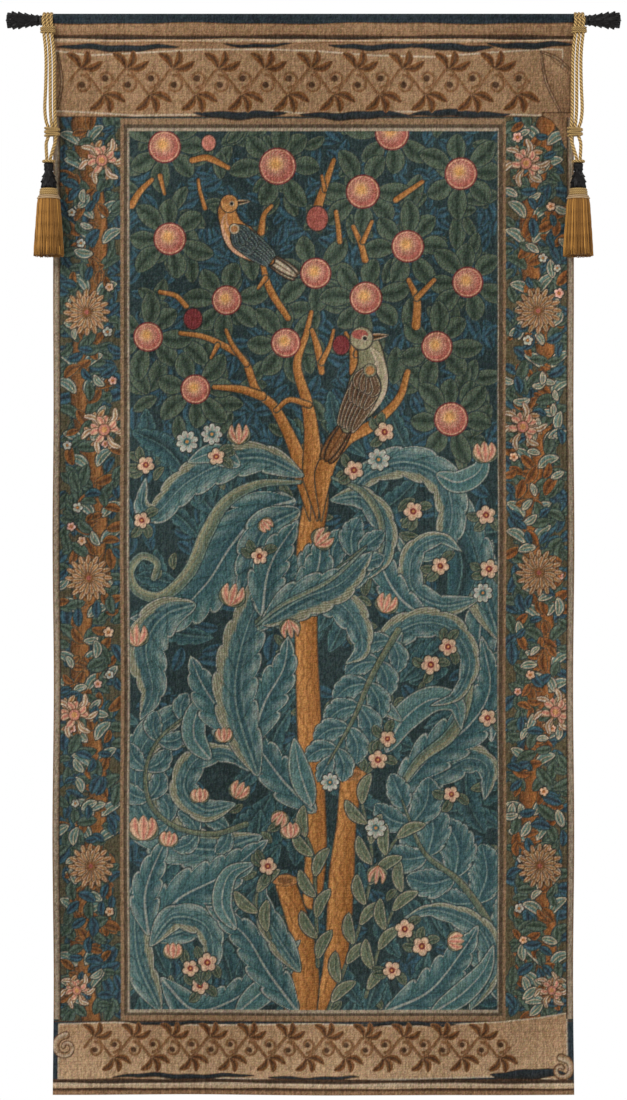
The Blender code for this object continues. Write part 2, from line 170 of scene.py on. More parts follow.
wool = {"Sheen Weight": 0.03, "Specular IOR Level": 0.08}
silk = {"Sheen Weight": 0.1, "Specular IOR Level": 0.25}
finishes = {  # slot, pattern, strength and depth of the relief, the shader's values, then the pattern's
    "wovenPicture": ("woven_wool", "weave", 0.7, 0.0005, wool,
                     {"Colour": "picture", "Rib": 0.0016, "Bead": 0.0013, "Contrast": 0.34}),
    "clothBack": ("woven_wool", "weave", 0.6, 0.0005, wool,
                  {"Colour": (120, 98, 74), "Rib": 0.0016, "Bead": 0.0013, "Contrast": 0.4}),
    "liningCotton": ("lining_cotton", "weave", 0.5, 0.0003, {**wool, "Specular IOR Level": 0.1},
                     {"Colour": (196, 184, 160), "Rib": 0.0007, "Bead": 0.0007, "Contrast": 0.25}),
    "seamThread": ("lining_cotton", "weave", 0.4, 0.0002, {},
                   {"Colour": (226, 216, 194), "Rib": 0.0005, "Bead": 0.0005, "Contrast": 0.3}),
    "goldRope": ("gold_rope", "fibres", 0.5, 0.0004, silk,
                 {"ShadeAndTone": "shadeAndTone", "Dark": (48, 27, 6), "Light": (238, 196, 122)}),
    "goldThread": ("gold_thread", "fibres", 0.4, 0.0004, {**silk, "Sheen Weight": 0.06},
                   {"ShadeAndTone": "shadeAndTone", "Dark": (84, 47, 8), "Light": (216, 156, 72)}),
    "paleThread": ("gold_rope", "fibres", 0.4, 0.0004, silk,
                   {"ShadeAndTone": "shadeAndTone", "Dark": (150, 112, 70), "Light": (236, 208, 164)}),
    "blackResin": ("black_resin", "speckle", 0.35, 0.0004, {"Specular IOR Level": 0.22},
                   {"Dark": (3, 3, 4), "Light": (26, 24, 24)}),
    "blackIron": ("black_iron", "speckle", 0.3, 0.0003, {"Metallic": 0.6},
                  {"Dark": (24, 24, 26), "Light": (78, 76, 74)}),
    "pegSteel": ("steel_peg", "speckle", 0.2, 0.0002, {"Metallic": 1.0},
                 {"Dark": (120, 120, 122), "Light": (190, 190, 192)}),
    "coreWood": ("beech_wood", "speckle", 0.4, 0.0004, {},
                 {"Dark": (150, 110, 70), "Light": (205, 168, 122), "Fine": 500.0}),
    "floorPaint": (None, "speckle", 0.1, 0.0005, {},
                   {"Dark": (216, 214, 210), "Light": (236, 235, 232), "Fine": 30.0, "Broad": 3.0}),
}
materials = {}


def toLinear(colour):
    # from the 0 to 255 of a colour chart to the light that a surface sends back
    share = np.clip(np.asarray(colour, float) / 255, 0, 1)
    return np.where(share <= 0.04045, share / 12.92, ((share + 0.055) / 1.055) ** 2.4)


def newGroup(name, inputs):
    # a node group that gives back a colour, a height and a roughness, with a short way to calculate in it
    group = bpy.data.node_groups.new(name, "ShaderNodeTree")
    for label, value in inputs.items():
        kind = "NodeSocketColor" if isinstance(value, tuple) else "NodeSocketFloat"
        group.interface.new_socket(name=label, in_out="INPUT", socket_type=kind).default_value = value
    for label, kind in (("Colour", "Color"), ("Height", "Float"), ("Roughness", "Float")):
        group.interface.new_socket(name=label, in_out="OUTPUT", socket_type="NodeSocket" + kind)
    return group, group.nodes.new("NodeGroupInput").outputs, partial(calculate, group)


def endGroup(group, *results):
    out = group.nodes.new("NodeGroupOutput")
    for result, label in zip(results, ("Colour", "Height", "Roughness")):
        group.links.new(result, out.inputs[label])
    return group


def wire(tree, value, socket):
    if isinstance(value, bpy.types.NodeSocket):
        tree.links.new(value, socket)
    else:
        socket.default_value = value


def calculate(tree, operation, *values):
    node = tree.nodes.new("ShaderNodeMath")
    node.operation = operation
    for value, socket in zip(values, node.inputs):
        wire(tree, value, socket)
    return node.outputs[0]


def blendColour(tree, share, first, second, kind="MIX"):
    node = tree.nodes.new("ShaderNodeMix")
    node.data_type, node.blend_type = "RGBA", kind
    wire(tree, share, node.inputs[0])
    wire(tree, first, node.inputs[6])
    wire(tree, second, node.inputs[7])
    return node.outputs[2]


def noise(tree, where, scale, detail=2.0):
    node = tree.nodes.new("ShaderNodeTexNoise")
    wire(tree, where, node.inputs["Vector"])
    wire(tree, scale, node.inputs["Scale"])
    node.inputs["Detail"].default_value = detail
    return node.outputs["Fac"]


def stretch(tree, where, scale):
    node = tree.nodes.new("ShaderNodeVectorMath")
    node.operation = "MULTIPLY"
    wire(tree, where, node.inputs[0])
    node.inputs[1].default_value = scale
    return node.outputs[0]


def placeOf(tree, kind="Object"):
    return tree.nodes.new("ShaderNodeTexCoord").outputs[kind]


def makeWeave():
    # warp ribs side by side and weft beads along them, every second rib half a bead lower
    group, given, calc = newGroup("weave", {"Colour": (0.5, 0.5, 0.5, 1), "Rib": 0.0016, "Bead": 0.0012,
                                            "Contrast": 0.3})
    place = placeOf(group)
    axes = group.nodes.new("ShaderNodeSeparateXYZ")
    group.links.new(place, axes.inputs[0])
    drift = calc("MULTIPLY", calc("SUBTRACT", noise(group, place, 60), 0.5), 0.0009)
    across = calc("DIVIDE", calc("ADD", axes.outputs["X"], drift), given["Rib"])
    down = calc("DIVIDE", calc("ADD", axes.outputs["Z"], drift), given["Bead"])
    stagger = calc("MULTIPLY", calc("MODULO", calc("FLOOR", across), 2.0), 0.5)
    rib = calc("ABSOLUTE", calc("SINE", calc("MULTIPLY", across, np.pi)))
    bead = calc("ABSOLUTE", calc("SINE", calc("MULTIPLY", calc("ADD", down, stagger), np.pi)))
    body = calc("MULTIPLY", calc("POWER", rib, 0.6), calc("ADD", calc("MULTIPLY", bead, 0.6), 0.4))
    hair = noise(group, stretch(group, place, (1400, 1400, 500)), 1.0)
    height = calc("ADD", body, calc("MULTIPLY", hair, 0.45))
    # painted shade: the beads' tops are lighter and the hollows between them darker, and the dye is uneven in
    # short lengths down the warp
    dye = noise(group, stretch(group, place, (300, 300, 900)), 1.0)
    lit = calc("MULTIPLY", calc("SUBTRACT", body, 0.55), given["Contrast"])
    uneven = calc("ADD", calc("MULTIPLY", calc("SUBTRACT", dye, 0.5), 0.34), 1.0)
    shade = calc("ADD", lit, uneven)
    grey = group.nodes.new("ShaderNodeCombineColor")
    for socket in grey.inputs:
        group.links.new(shade, socket)
    colour = blendColour(group, 1.0, given["Colour"], grey.outputs[0], "MULTIPLY")
    return endGroup(group, colour, height, calc("SUBTRACT", 0.97, calc("MULTIPLY", body, 0.12)))


def makeFibres():
    # long hairs that follow a cord's own map, painted shade that darkens the groove between strands, and a
    # paler crest as painted highlight; on the skirt threads the same input also carries each thread's own
    # tone
    group, given, calc = newGroup("fibres", {"ShadeAndTone": 0.0, "Dark": (0.2, 0.12, 0.05, 1),
                                             "Light": (0.6, 0.45, 0.25, 1)})
    chart = placeOf(group, "UV")
    hair = noise(group, stretch(group, chart, (900, 60, 1)), 1.0)
    wide = noise(group, stretch(group, chart, (160, 8, 1)), 1.0)
    crest = calc("SUBTRACT", 1.0, given["ShadeAndTone"])
    streaks = calc("ADD", calc("MULTIPLY", calc("SUBTRACT", hair, 0.5), 0.9),
                   calc("MULTIPLY", calc("SUBTRACT", wide, 0.4), 0.6))
    share = calc("ADD", calc("MULTIPLY", calc("POWER", crest, 2.4), 0.95), streaks)
    share.node.use_clamp = True
    colour = blendColour(group, share, given["Dark"], given["Light"])
    dull = calc("SUBTRACT", 0.85, calc("MULTIPLY", share, 0.3))
    return endGroup(group, colour, calc("ADD", crest, hair), dull)


def makeSpeckle():
    # cast or painted skin: small pits, broad clouds of rubbed and dull places
    group, given, calc = newGroup("speckle", {"Dark": (0.01, 0.01, 0.01, 1), "Light": (0.1, 0.1, 0.1, 1),
                                              "Fine": 900.0, "Broad": 60.0})
    place = placeOf(group)
    fine, broad = noise(group, place, given["Fine"], 3), noise(group, place, given["Broad"], 3)
    share = calc("ADD", calc("MULTIPLY", calc("SUBTRACT", fine, 0.5), 1.2), calc("MULTIPLY", broad, 0.9))
    share.node.use_clamp = True
    colour = blendColour(group, share, given["Dark"], given["Light"])
    return endGroup(group, colour, fine, calc("ADD", 0.22, calc("MULTIPLY", broad, 0.36)))


def makeFinishes():
    # a value that is a name is kept on a mesh's points, and one with three numbers is a colour
    patterns = {"weave": makeWeave(), "fibres": makeFibres(), "speckle": makeSpeckle()}
    for name, (_, pattern, strength, depth, surface, values) in finishes.items():
        material = materials[name] = bpy.data.materials.new(name)
        material.use_nodes = True
        nodes, links = material.node_tree.nodes, material.node_tree.links
        shader, relief = nodes["Principled BSDF"], nodes.new("ShaderNodeBump")
        for label, value in {"Sheen Roughness": 0.6, **surface}.items():
            shader.inputs[label].default_value = value
        relief.inputs["Strength"].default_value, relief.inputs["Distance"].default_value = strength, depth
        group = nodes.new("ShaderNodeGroup")
        group.node_tree = patterns[pattern]
        for label, value in values.items():
            if isinstance(value, str):
                source = nodes.new("ShaderNodeAttribute")
                source.attribute_name = value
                links.new(source.outputs["Color" if label == "Colour" else "Fac"], group.inputs[label])
            elif isinstance(value, tuple):
                group.inputs[label].default_value = (*toLinear(value), 1)
            else:
                group.inputs[label].default_value = value
        links.new(group.outputs["Colour"], shader.inputs["Base Color"])
        links.new(group.outputs["Roughness"], shader.inputs["Roughness"])
        links.new(group.outputs["Height"], relief.inputs["Height"])
        links.new(relief.outputs[0], shader.inputs["Normal"])
    print("finishes made")


# The picture on the cloth: one colour and one height for every stitch

cloth = {"halfWidth": 348.0, "top": 7.0, "bottom": -1438.0, "stitch": 1.16, "seed": 5}

yarn = {
    "navy": (38, 46, 51), "ground": (40, 53, 53), "deep": (46, 71, 75), "teal": (57, 87, 88),
    "sea": (78, 104, 100), "mist": (115, 129, 119), "frost": (153, 150, 137), "blue": (52, 78, 92),
    "moss": (72, 84, 70), "fern": (90, 98, 78), "pine": (44, 55, 46), "olive": (106, 104, 80),
    "straw": (134, 126, 98), "bark": (150, 100, 56), "honey": (176, 122, 70), "gold": (196, 142, 82),
    "umber": (110, 70, 38), "wood": (138, 88, 44), "soil": (80, 66, 51), "cocoa": (72, 50, 34),
    "tan": (154, 122, 91), "wheat": (168, 138, 106), "clay": (128, 97, 70), "sand": (143, 112, 82),
    "cream": (176, 158, 134), "shell": (192, 148, 118), "rose": (172, 106, 90), "brick": (142, 74, 64),
    "wine": (104, 40, 42), "white": (198, 186, 170), "ink": (36, 36, 34),
}
yarn = {name: np.array(colour, float) for name, colour in yarn.items()}


def newCanvas():
    # one stitch is one point of the cloth: its place in millimetres, its colour and how far it stands proud
    across = round(2 * cloth["halfWidth"] / cloth["stitch"])
    down = round((cloth["top"] - cloth["bottom"]) / cloth["stitch"])
    x = np.linspace(-cloth["halfWidth"], cloth["halfWidth"], across + 1)
    z = np.linspace(cloth["top"], cloth["bottom"], down + 1)
    colour = np.tile(yarn["ground"], (down + 1, across + 1, 1))
    return {"x": x, "z": z, "colour": colour, "relief": np.zeros((down + 1, across + 1))}


def windowOf(canvas, low, high):
    # the stitches inside a rectangle, and their places
    columns = slice(*np.searchsorted(canvas["x"], (low[0], high[0])))
    rows = slice(*np.searchsorted(-canvas["z"], (-high[1], -low[1])))
    x, z = np.meshgrid(canvas["x"][columns], canvas["z"][rows])
    return (rows, columns), x, z


def edge(depth):
    # cover of a shape, soft over one stitch, from the depth inside its outline
    return np.clip(depth / cloth["stitch"] + 0.5, 0, 1)


def mix(a, b, share):
    share = np.asarray(share, float)[..., None]
    return a + (b - a) * share


def lay(canvas, part, cover, colour, height=0.0):
    old = canvas["colour"][part]
    canvas["colour"][part] = old + (colour - old) * cover[..., None]
    canvas["relief"][part] += (height - canvas["relief"][part]) * cover


def travelled(points):
    # how far along a path each of its points lies
    return np.concatenate([[0], np.cumsum(np.linalg.norm(np.diff(points, axis=0), axis=1))])


def smoothRoute(points, spacing=1.6, between=16, least=8):
    # a Catmull-Rom curve through points of the cloth or of space, read again at even lengths
    p = np.array(points, float)
    p = np.vstack([2 * p[0] - p[1], p, 2 * p[-1] - p[-2]])
    t = np.linspace(0, 1, between, endpoint=False)[:, None]
    a, b, c, d = p[:-3, None], p[1:-2, None], p[2:-1, None], p[3:, None]
    curve = 0.5 * (2 * b + (c - a) * t + (2 * a - 5 * b + 4 * c - d) * t**2 + (3 * b - a - 3 * c + d) * t**3)
    curve = np.vstack([curve.reshape(-1, p.shape[1]), p[-2]])
    steps = travelled(curve)
    even = np.linspace(0, steps[-1], max(least, int(steps[-1] / spacing)))
    return np.stack([np.interp(even, steps, axis) for axis in curve.T], 1), steps[-1]


def alongRoute(canvas, route, reach):
    # for the stitches near a route: share u along it, distance r from it, and the side, 1 to its left or -1
    part, x, z = windowOf(canvas, route.min(0) - reach, route.max(0) + reach)
    tangent = np.gradient(route, axis=0)
    tangent /= np.linalg.norm(tangent, axis=1)[:, None]
    dx, dz = x[..., None] - route[:, 0], z[..., None] - route[:, 1]
    near = (dx * dx + dz * dz).argmin(-1)
    dx, dz = x - route[near, 0], z - route[near, 1]
    ahead = dx * tangent[near, 0] + dz * tangent[near, 1]
    aside = tangent[near, 0] * dz - tangent[near, 1] * dx
    spacing = np.linalg.norm(route[1] - route[0])
    place = near + ahead / spacing
    last = len(route) - 1
    over = np.maximum(0, np.maximum(-place, place - last)) * spacing
    return part, np.clip(place / last, 0, 1), np.hypot(aside, over), np.sign(aside)


def swell(u, width, widest, sharp):
    # half width: nothing at both ends, full at the widest share
    return width * np.sin(np.pi * u ** (np.log(0.5) / np.log(widest))) ** sharp


def paintLeaf(canvas, points, width, look, widest=0.42, sharp=0.75):
    # a leaf along a route: dark by its rib, light to its rim, hatched as a weaver shades, one half paler;
    # a lobed one is notched where the veins between its lobes, which run forwards, reach the rim
    route, length = smoothRoute(points)
    part, u, r, side = alongRoute(canvas, route, width + 4)
    half = swell(u, width, widest, sharp)
    slant = u * length - look["slant"] * r
    if look["lobes"]:
        between = np.abs(np.sin(np.pi * slant / look["lobes"])) ** 0.55
        half = half * (1 - look["notch"] * (1 - between))
    inside = half - r
    share = r / np.maximum(half, 0.1)
    lay(canvas, part, edge(inside + look["gap"]), yarn[look["shade"]])
    tone = mix(yarn[look["dark"]], yarn[look["mid"]], np.clip(share * 1.5 + 0.25 * side, 0, 1))
    strand = (u * length * look["follow"] - look["slant"] * r) / look["hatch"]
    hatch = (0.5 + 0.5 * np.cos(2 * np.pi * strand)) ** 2
    tone = mix(tone, yarn[look["light"]], hatch * (0.42 + 0.18 * side) * np.clip(share * 1.6, 0.2, 1))
    flow = (0.5 + 0.5 * np.cos(2 * np.pi * look["flow"] * share + 2 * np.pi * u)) ** 4 * (look["flow"] > 0)
    tone = mix(tone, yarn[look["light"]], 0.55 * flow * np.clip(share * 3, 0, 1))
    if look["lobes"]:
        tone = mix(tone, yarn[look["shade"]], np.clip(1 - 2.1 * between, 0, 1) * np.clip(share * 3, 0, 0.8))
        crests = np.clip(between * 3 - 2.2, 0, 1) * np.clip(share * 1.2 - 0.3, 0, 0.55)
        tone = mix(tone, yarn[look["rim"]], crests)
    turned = np.clip((share - 0.52) * 9, 0, 1) * (side == look["turned"])
    tone = mix(tone, mix(yarn[look["under"]], yarn[look["rim"]], hatch * 0.7), turned)
    rim = np.clip((look["rimWidth"] - inside) / cloth["stitch"] + 0.5, 0, 1) * look["rimCover"]
    tone = mix(tone, yarn[look["rim"]], rim)
    rib = edge(look["ribWidth"] * (1.05 - 0.75 * u) - r) * look["ribCover"]
    tone = mix(tone, yarn[look["rib"]], rib)
    height = look["height"] * np.clip(1 - share**2, 0, 1) ** 0.5
    lay(canvas, part, edge(inside), tone, height)


def paintStem(canvas, points, widths, look):
    # a rounded stem or band along a route: light on one side, dark on the other, with long streaks
    route, length = smoothRoute(points, 2.0)
    part, u, r, side = alongRoute(canvas, route, max(widths) + 4)
    half = np.interp(u, np.linspace(0, 1, len(widths)), widths)
    inside = half - r
    across = side * r / half
    lay(canvas, part, edge(inside + look["gap"]), yarn[look["shade"]])
    light = 0.5 - 0.5 * np.sin(np.pi * 0.5 * np.clip(across * look["lit"], -1, 1))
    tone = mix(yarn[look["dark"]], yarn[look["light"]], light)
    streak = np.sin(across * 9 + 2.2 * np.sin(u * length / 17 + 1) + 1.3 * np.sin(u * length / 6.1))
    tone = mix(tone, yarn[look["streak"]], np.clip(streak - 0.35, 0, 1) * look["streaks"])
    ticks = 0.5 + 0.5 * np.cos(2 * np.pi * (u * length + 1.5 * across) / 3.1)
    tone = mix(tone, yarn[look["light"]], ticks * look["ticks"])
    rim = np.clip((look["rimWidth"] - inside) / cloth["stitch"] + 0.5, 0, 1) * look["rimCover"]
    tone = mix(tone, yarn[look["rim"]], rim)
    lay(canvas, part, edge(inside), tone, look["height"] * np.clip(1 - across**2, 0, 1) ** 0.5)


def leafLook(dark, mid, light, rim, rib, **more):
    look = {"shade": "ground", "dark": dark, "mid": mid, "light": light, "rim": rim, "rib": rib,
            "gap": 1.3, "slant": 0.9, "lobes": 0, "notch": 0.34, "turned": 0, "under": "olive",
            "follow": 1.0, "flow": 0, "hatch": 4.2, "rimWidth": 1.5, "rimCover": 0.85, "ribWidth": 1.5,
            "ribCover": 0.8, "height": 0.35}
    return {**look, **more}


def stemLook(dark, light, streak, rim, **more):
    look = {"shade": "ground", "dark": dark, "light": light, "streak": streak, "rim": rim, "gap": 1.2,
            "lit": 1.0, "streaks": 0.5, "ticks": 0.15, "rimWidth": 0.8, "rimCover": 0.35, "height": 0.5}
    return {**look, **more}


curled = dict(follow=0.3, flow=2.1, height=0.6, lobes=36, slant=1.3, notch=0.22)
small = dict(rimWidth=0.8, ribWidth=0.7, hatch=3.0)
petal = dict(rimWidth=0.9, rimCover=0.7, ribWidth=0.6, hatch=3.2, gap=1.0, shade="cocoa")
looks = {
    "acanthusPale": leafLook("teal", "sea", "mist", "frost", "frost", rimWidth=1.6, ribWidth=1.4, hatch=4.6),
    "acanthusDark": leafLook("ground", "deep", "teal", "sea", "sea", hatch=4.6),
    "lobed": leafLook("deep", "teal", "sea", "frost", "frost", follow=0.3, flow=2.4, rimWidth=1.7,
                      ribWidth=1.8, hatch=5.0, height=0.6, lobes=31, slant=1.35, notch=0.3),
    "lobedTurned": leafLook("deep", "teal", "mist", "frost", "mist", turned=1, **curled),
    "lobedOver": leafLook("deep", "teal", "mist", "frost", "mist", turned=-1, **curled),
    "lobedDark": leafLook("ground", "deep", "teal", "sea", "sea", rimWidth=1.4, hatch=4.4, lobes=17,
                          slant=1.2),
    "lobedSmall": leafLook("deep", "teal", "mist", "frost", "mist", rimWidth=1.4, ribWidth=1.3, hatch=4.0,
                           height=0.5, lobes=15, slant=1.2, notch=0.2, follow=0.3),
    "orchard": leafLook("pine", "moss", "fern", "olive", "pine", rimWidth=1.0, rimCover=0.55, ribWidth=0.9,
                        ribCover=0.9, hatch=3.8, gap=1.6),
    "backLeaf": leafLook("ground", "blue", "teal", "teal", "navy", rimWidth=0.8, rimCover=0.6, ribWidth=0.7,
                         hatch=3.4, gap=0.9),
    "willow": leafLook("moss", "fern", "straw", "cream", "straw", rimWidth=1.1, rimCover=0.75, ribWidth=0.9,
                       hatch=3.6, gap=1.6),
    "sprig": leafLook("pine", "moss", "olive", "straw", "straw", rimWidth=0.9, rimCover=0.7, ribWidth=0.7,
                      hatch=3.3),
    "borderBlue": leafLook("navy", "blue", "teal", "teal", "navy", rimCover=0.4, **small),
    "borderGreen": leafLook("pine", "moss", "sea", "fern", "pine", rimCover=0.5, **small),
    "borderBrown": leafLook("cocoa", "umber", "bark", "bark", "cocoa", rimCover=0.6, gap=0.8, **small),
    "borderPale": leafLook("moss", "sea", "mist", "cream", "cream", rimWidth=1.3, rimCover=0.95,
                           ribWidth=0.9, hatch=3.2, gap=1.6),
    "petal": leafLook("bark", "tan", "cream", "cream", "umber", **petal),
    "petalPale": leafLook("clay", "cream", "white", "white", "bark", **petal),
    "petalPink": leafLook("rose", "shell", "cream", "cream", "rose", **petal),
    "bud": leafLook("rose", "shell", "cream", "cream", "rose", rimWidth=1.1, rimCover=0.8, ribWidth=0.7,
                    hatch=2.9, gap=0.7, shade="umber"),
}
stems = {
    "trunk": stemLook("wood", "honey", "umber", "cocoa", rimWidth=1.6, rimCover=0.5, streaks=0.8, ticks=0.25),
    "branch": stemLook("wood", "honey", "umber", "cocoa", rimWidth=0.9, rimCover=0.4),
    "vine": stemLook("moss", "olive", "sea", "straw", rimWidth=0.6, rimCover=0.5),
    "scroll": stemLook("moss", "straw", "sea", "mist", rimWidth=1.3, rimCover=0.75, streaks=0.8),
    "borderStem": stemLook("cocoa", "bark", "umber", "cocoa", lit=0.6, streaks=0.9, ticks=0.2, rimWidth=2.2,
                           rimCover=0.7),
    "ornament": stemLook("umber", "clay", "cocoa", "umber", shade="tan", gap=0, ticks=0.3),
    "foldLine": stemLook("clay", "cream", "wheat", "umber", shade="cocoa"),
}


def roundWindow(canvas, centre, radius, squash=1.0):
    # the stitches round a centre: their offsets from it, their distances and their angles
    reach = radius + 3
    part, x, z = windowOf(canvas, np.array(centre) - reach, np.array(centre) + reach)
    dx, dz = x - centre[0], (z - centre[1]) / squash
    return part, dx, dz, np.hypot(dx, dz), np.arctan2(dz, dx)


def paintRing(canvas, centre, radii, colours, ticks=0.0, squash=1.0):
    # discs of colour, the widest first, each with hatched rays
    part, _, _, r, angle = roundWindow(canvas, centre, radii[0], squash)
    for radius, colour in zip(radii, colours):
        rays = 0.5 + 0.5 * np.cos(angle * round(radius * 1.6) + radius)
        tone = mix(yarn[colour], yarn["cream"], rays * ticks)
        dome = 0.6 * np.clip(1 - (r / radii[0]) ** 2, 0, 1) ** 0.5
        lay(canvas, part, edge(radius - r), tone, dome)


def paintFruit(canvas, centre, radius):
    # a blushing round: a pale rim, then red, with hatched rays opening to a warm middle set a little high
    part, dx, dz, r, angle = roundWindow(canvas, centre, radius)
    deep = np.hypot(dx + 0.12 * radius, dz - 0.14 * radius) / radius
    rays = np.abs(np.cos(angle * 13 + 2.2 * np.sin(deep * 9)))
    lay(canvas, part, edge(radius + 1.8 - r), yarn["wine"])
    tone = mix(yarn["rose"], yarn["shell"], np.clip(1.15 - deep * 1.3, 0, 1))
    tone = mix(tone, yarn["gold"], np.clip(1.25 - deep * 2.1, 0, 0.85))
    tone = mix(tone, yarn["brick"], rays * np.clip((deep - 0.36) * 2.4, 0, 0.85))
    tone = mix(tone, yarn["cream"], (1 - rays) * np.clip(1.0 - np.abs(deep - 0.55) * 3, 0, 0.5))
    tone = mix(tone, yarn["shell"], edge(r - radius + 1.7) * 0.9)
    lay(canvas, part, edge(radius - r), tone, 0.6 * np.clip(1 - (r / radius) ** 2, 0, 1) ** 0.5)


def petalPoints(centre, angle, start, end, bend=0.0):
    # a short route outwards from a centre, bent sideways in its middle
    out = np.array([np.cos(angle), np.sin(angle)])
    aside = np.array([-out[1], out[0]])
    centre = np.array(centre, float)
    return [centre + out * start, centre + out * (start + end) / 2 + aside * bend, centre + out * end]


def paintRosette(canvas, centre, start, end, count, width, look, turn):
    # leaves set round a centre, every other one longer
    for number in range(count):
        angle = turn + 2 * np.pi * number / count + 0.16 * np.sin(5.3 * number + turn)
        length = end * (1.0 if number % 2 else 0.86)
        points = petalPoints(centre, angle, start, length, 3 * (-1) ** number)
        paintLeaf(canvas, points, width, looks[look], 0.52, 0.62)


def paintFlower(canvas, centre, radius, petals=5, tone="shell", heart="cocoa", turn=0.4):
    # round petals: the outline swells and sinks with the angle, and the heart is dark with a light eye
    part, _, _, r, angle = roundWindow(canvas, centre, radius)
    lobe = np.abs(np.cos((angle + turn) * petals / 2))
    outline = radius * (0.62 + 0.38 * lobe**0.6)
    lay(canvas, part, edge(outline + 1.5 - r), yarn["ink"])
    colour = mix(yarn["cream" if tone == "shell" else "white"], yarn[tone], np.clip(1.25 - r / outline, 0, 1))
    colour = mix(colour, yarn["rose"], np.clip(0.30 - lobe, 0, 1) * 2.2)
    lay(canvas, part, edge(outline - r), colour, 0.4)
    lay(canvas, part, edge(radius * 0.34 - r), yarn[heart], 0.5)
    lay(canvas, part, edge(radius * 0.15 - r), yarn["honey"], 0.5)


def paintBurst(canvas, centre, radius, petals=16):
    # a flower of many narrow petals in two rows
    paintRing(canvas, centre, (radius * 0.8,), ("cocoa",))
    for row, (start, end) in enumerate(((0.18, 1.0), (0.1, 0.72))):
        for number in range(petals):
            angle = 2 * np.pi * (number + 0.5 * row) / petals
            points = petalPoints(centre, angle, start * radius, end * radius, 1.2)
            paintLeaf(canvas, points, radius * 0.092, looks["petal"], 0.72, 0.5)
    paintRing(canvas, centre, (radius * 0.2, radius * 0.1), ("umber", "brick"), 0.2)


def paintPeony(canvas, centre, radius, tilt=0.6):
    # an open bowl of a flower: narrow outer petals that curl, a cup of broad ones, and a hatched heart
    for number in range(13):
        angle = tilt + 2 * np.pi * number / 13
        reach = radius * (1.12 if number % 2 else 0.92)
        points = petalPoints(centre, angle, radius * 0.25, reach, 5.5 * (-1) ** number)
        paintLeaf(canvas, points, radius * 0.115, looks["petalPale" if number % 2 else "petal"], 0.66, 0.55)
    for number in range(7):
        angle = tilt + np.pi * (number - 3) / 4.5
        points = petalPoints(centre, angle, radius * 0.1, radius * 0.66, 2 * (-1) ** number)
        paintLeaf(canvas, points, radius * 0.15, looks["petalPink"], 0.62, 0.55)
    paintRing(canvas, centre, (radius * 0.3, radius * 0.25, radius * 0.14), ("cocoa", "rose", "honey"), 0.3)


def paintBud(canvas, base, tip, width):
    # a half-open flower: two sepals behind, then a petal on either side of the middle one
    base, tip = np.array(base, float), np.array(tip, float)
    along = tip - base
    aside = np.array([-along[1], along[0]]) * 0.42
    for side in (-1, 1):
        points = [base, base + along * 0.35 + side * aside, base + along * 0.95 + side * aside * 0.8]
        paintLeaf(canvas, points, width * 0.42, looks["sprig"])
    for side in (-1, 1, 0):
        end = tip + side * aside * 0.85 - side**2 * along * 0.08
        points = [base, base + along * 0.5 + side * aside * 0.8, end]
        paintLeaf(canvas, points, width * 0.44, looks["bud"], 0.5, 0.6)


def paintFrond(canvas, points, spread, pairs, look, sides=(1.0, 1.0)):
    # an acanthus frond: leaflets leave the rib in pairs, bend towards its tip, and overlap like tiles
    route, _ = smoothRoute(points)
    for number in range(pairs):
        u = 0.08 + 0.8 * number / max(1, pairs - 1)
        k = int(u * (len(route) - 1))
        ahead = route[min(k + 3, len(route) - 1)] - route[max(k - 3, 0)]
        ahead /= np.linalg.norm(ahead)
        left = np.array([-ahead[1], ahead[0]])
        size = spread * (0.62 + 0.5 * np.sin(np.pi * (0.15 + 0.7 * u)))
        for side, share in ((1, sides[0]), (-1, sides[1])):
            reach = size * share
            first, later = [ahead * np.cos(lean) + side * left * np.sin(lean) for lean in (0.95, 0.45)]
            middle = route[k] + first * reach * 0.55
            leaflet = [route[k], middle, middle + later * reach * 0.55]
            paintLeaf(canvas, leaflet, reach * 0.34, looks[look], 0.5, 0.6)
    ahead = route[-1] - route[-6]
    ahead /= np.linalg.norm(ahead)
    tip = [route[-8], route[-1], route[-1] + ahead * spread * 0.6]
    paintLeaf(canvas, tip, spread * 0.26, looks[look], 0.45, 0.6)
    paintStem(canvas, points, (spread * 0.07 + 0.8, spread * 0.05 + 0.6, 0.7), stems["vine"])


def spiral(centre, radius, start, turns, shrink=0.35):
    # points of a closing spiral, turning left where turns is positive
    t = np.linspace(0, 1, 4 + int(abs(turns) * 9))
    angle = start + 2 * np.pi * turns * t
    size = radius * (1 - (1 - shrink) * t)
    return [np.array([centre[0] + s * np.cos(a), centre[1] + s * np.sin(a)]) for s, a in zip(size, angle)]


def paintGroundLeaves(canvas, low, high, count, size, look, draw):
    # small leaves strewn over a stretch of ground
    for _ in range(count):
        centre = draw.uniform(low, high)
        angle, length = draw.uniform(0, 2 * np.pi), size * draw.uniform(0.7, 1.2)
        points = petalPoints(centre, angle, 0, length, draw.uniform(-3, 3))
        paintLeaf(canvas, points, length * 0.24, looks[look], 0.5, 0.6)


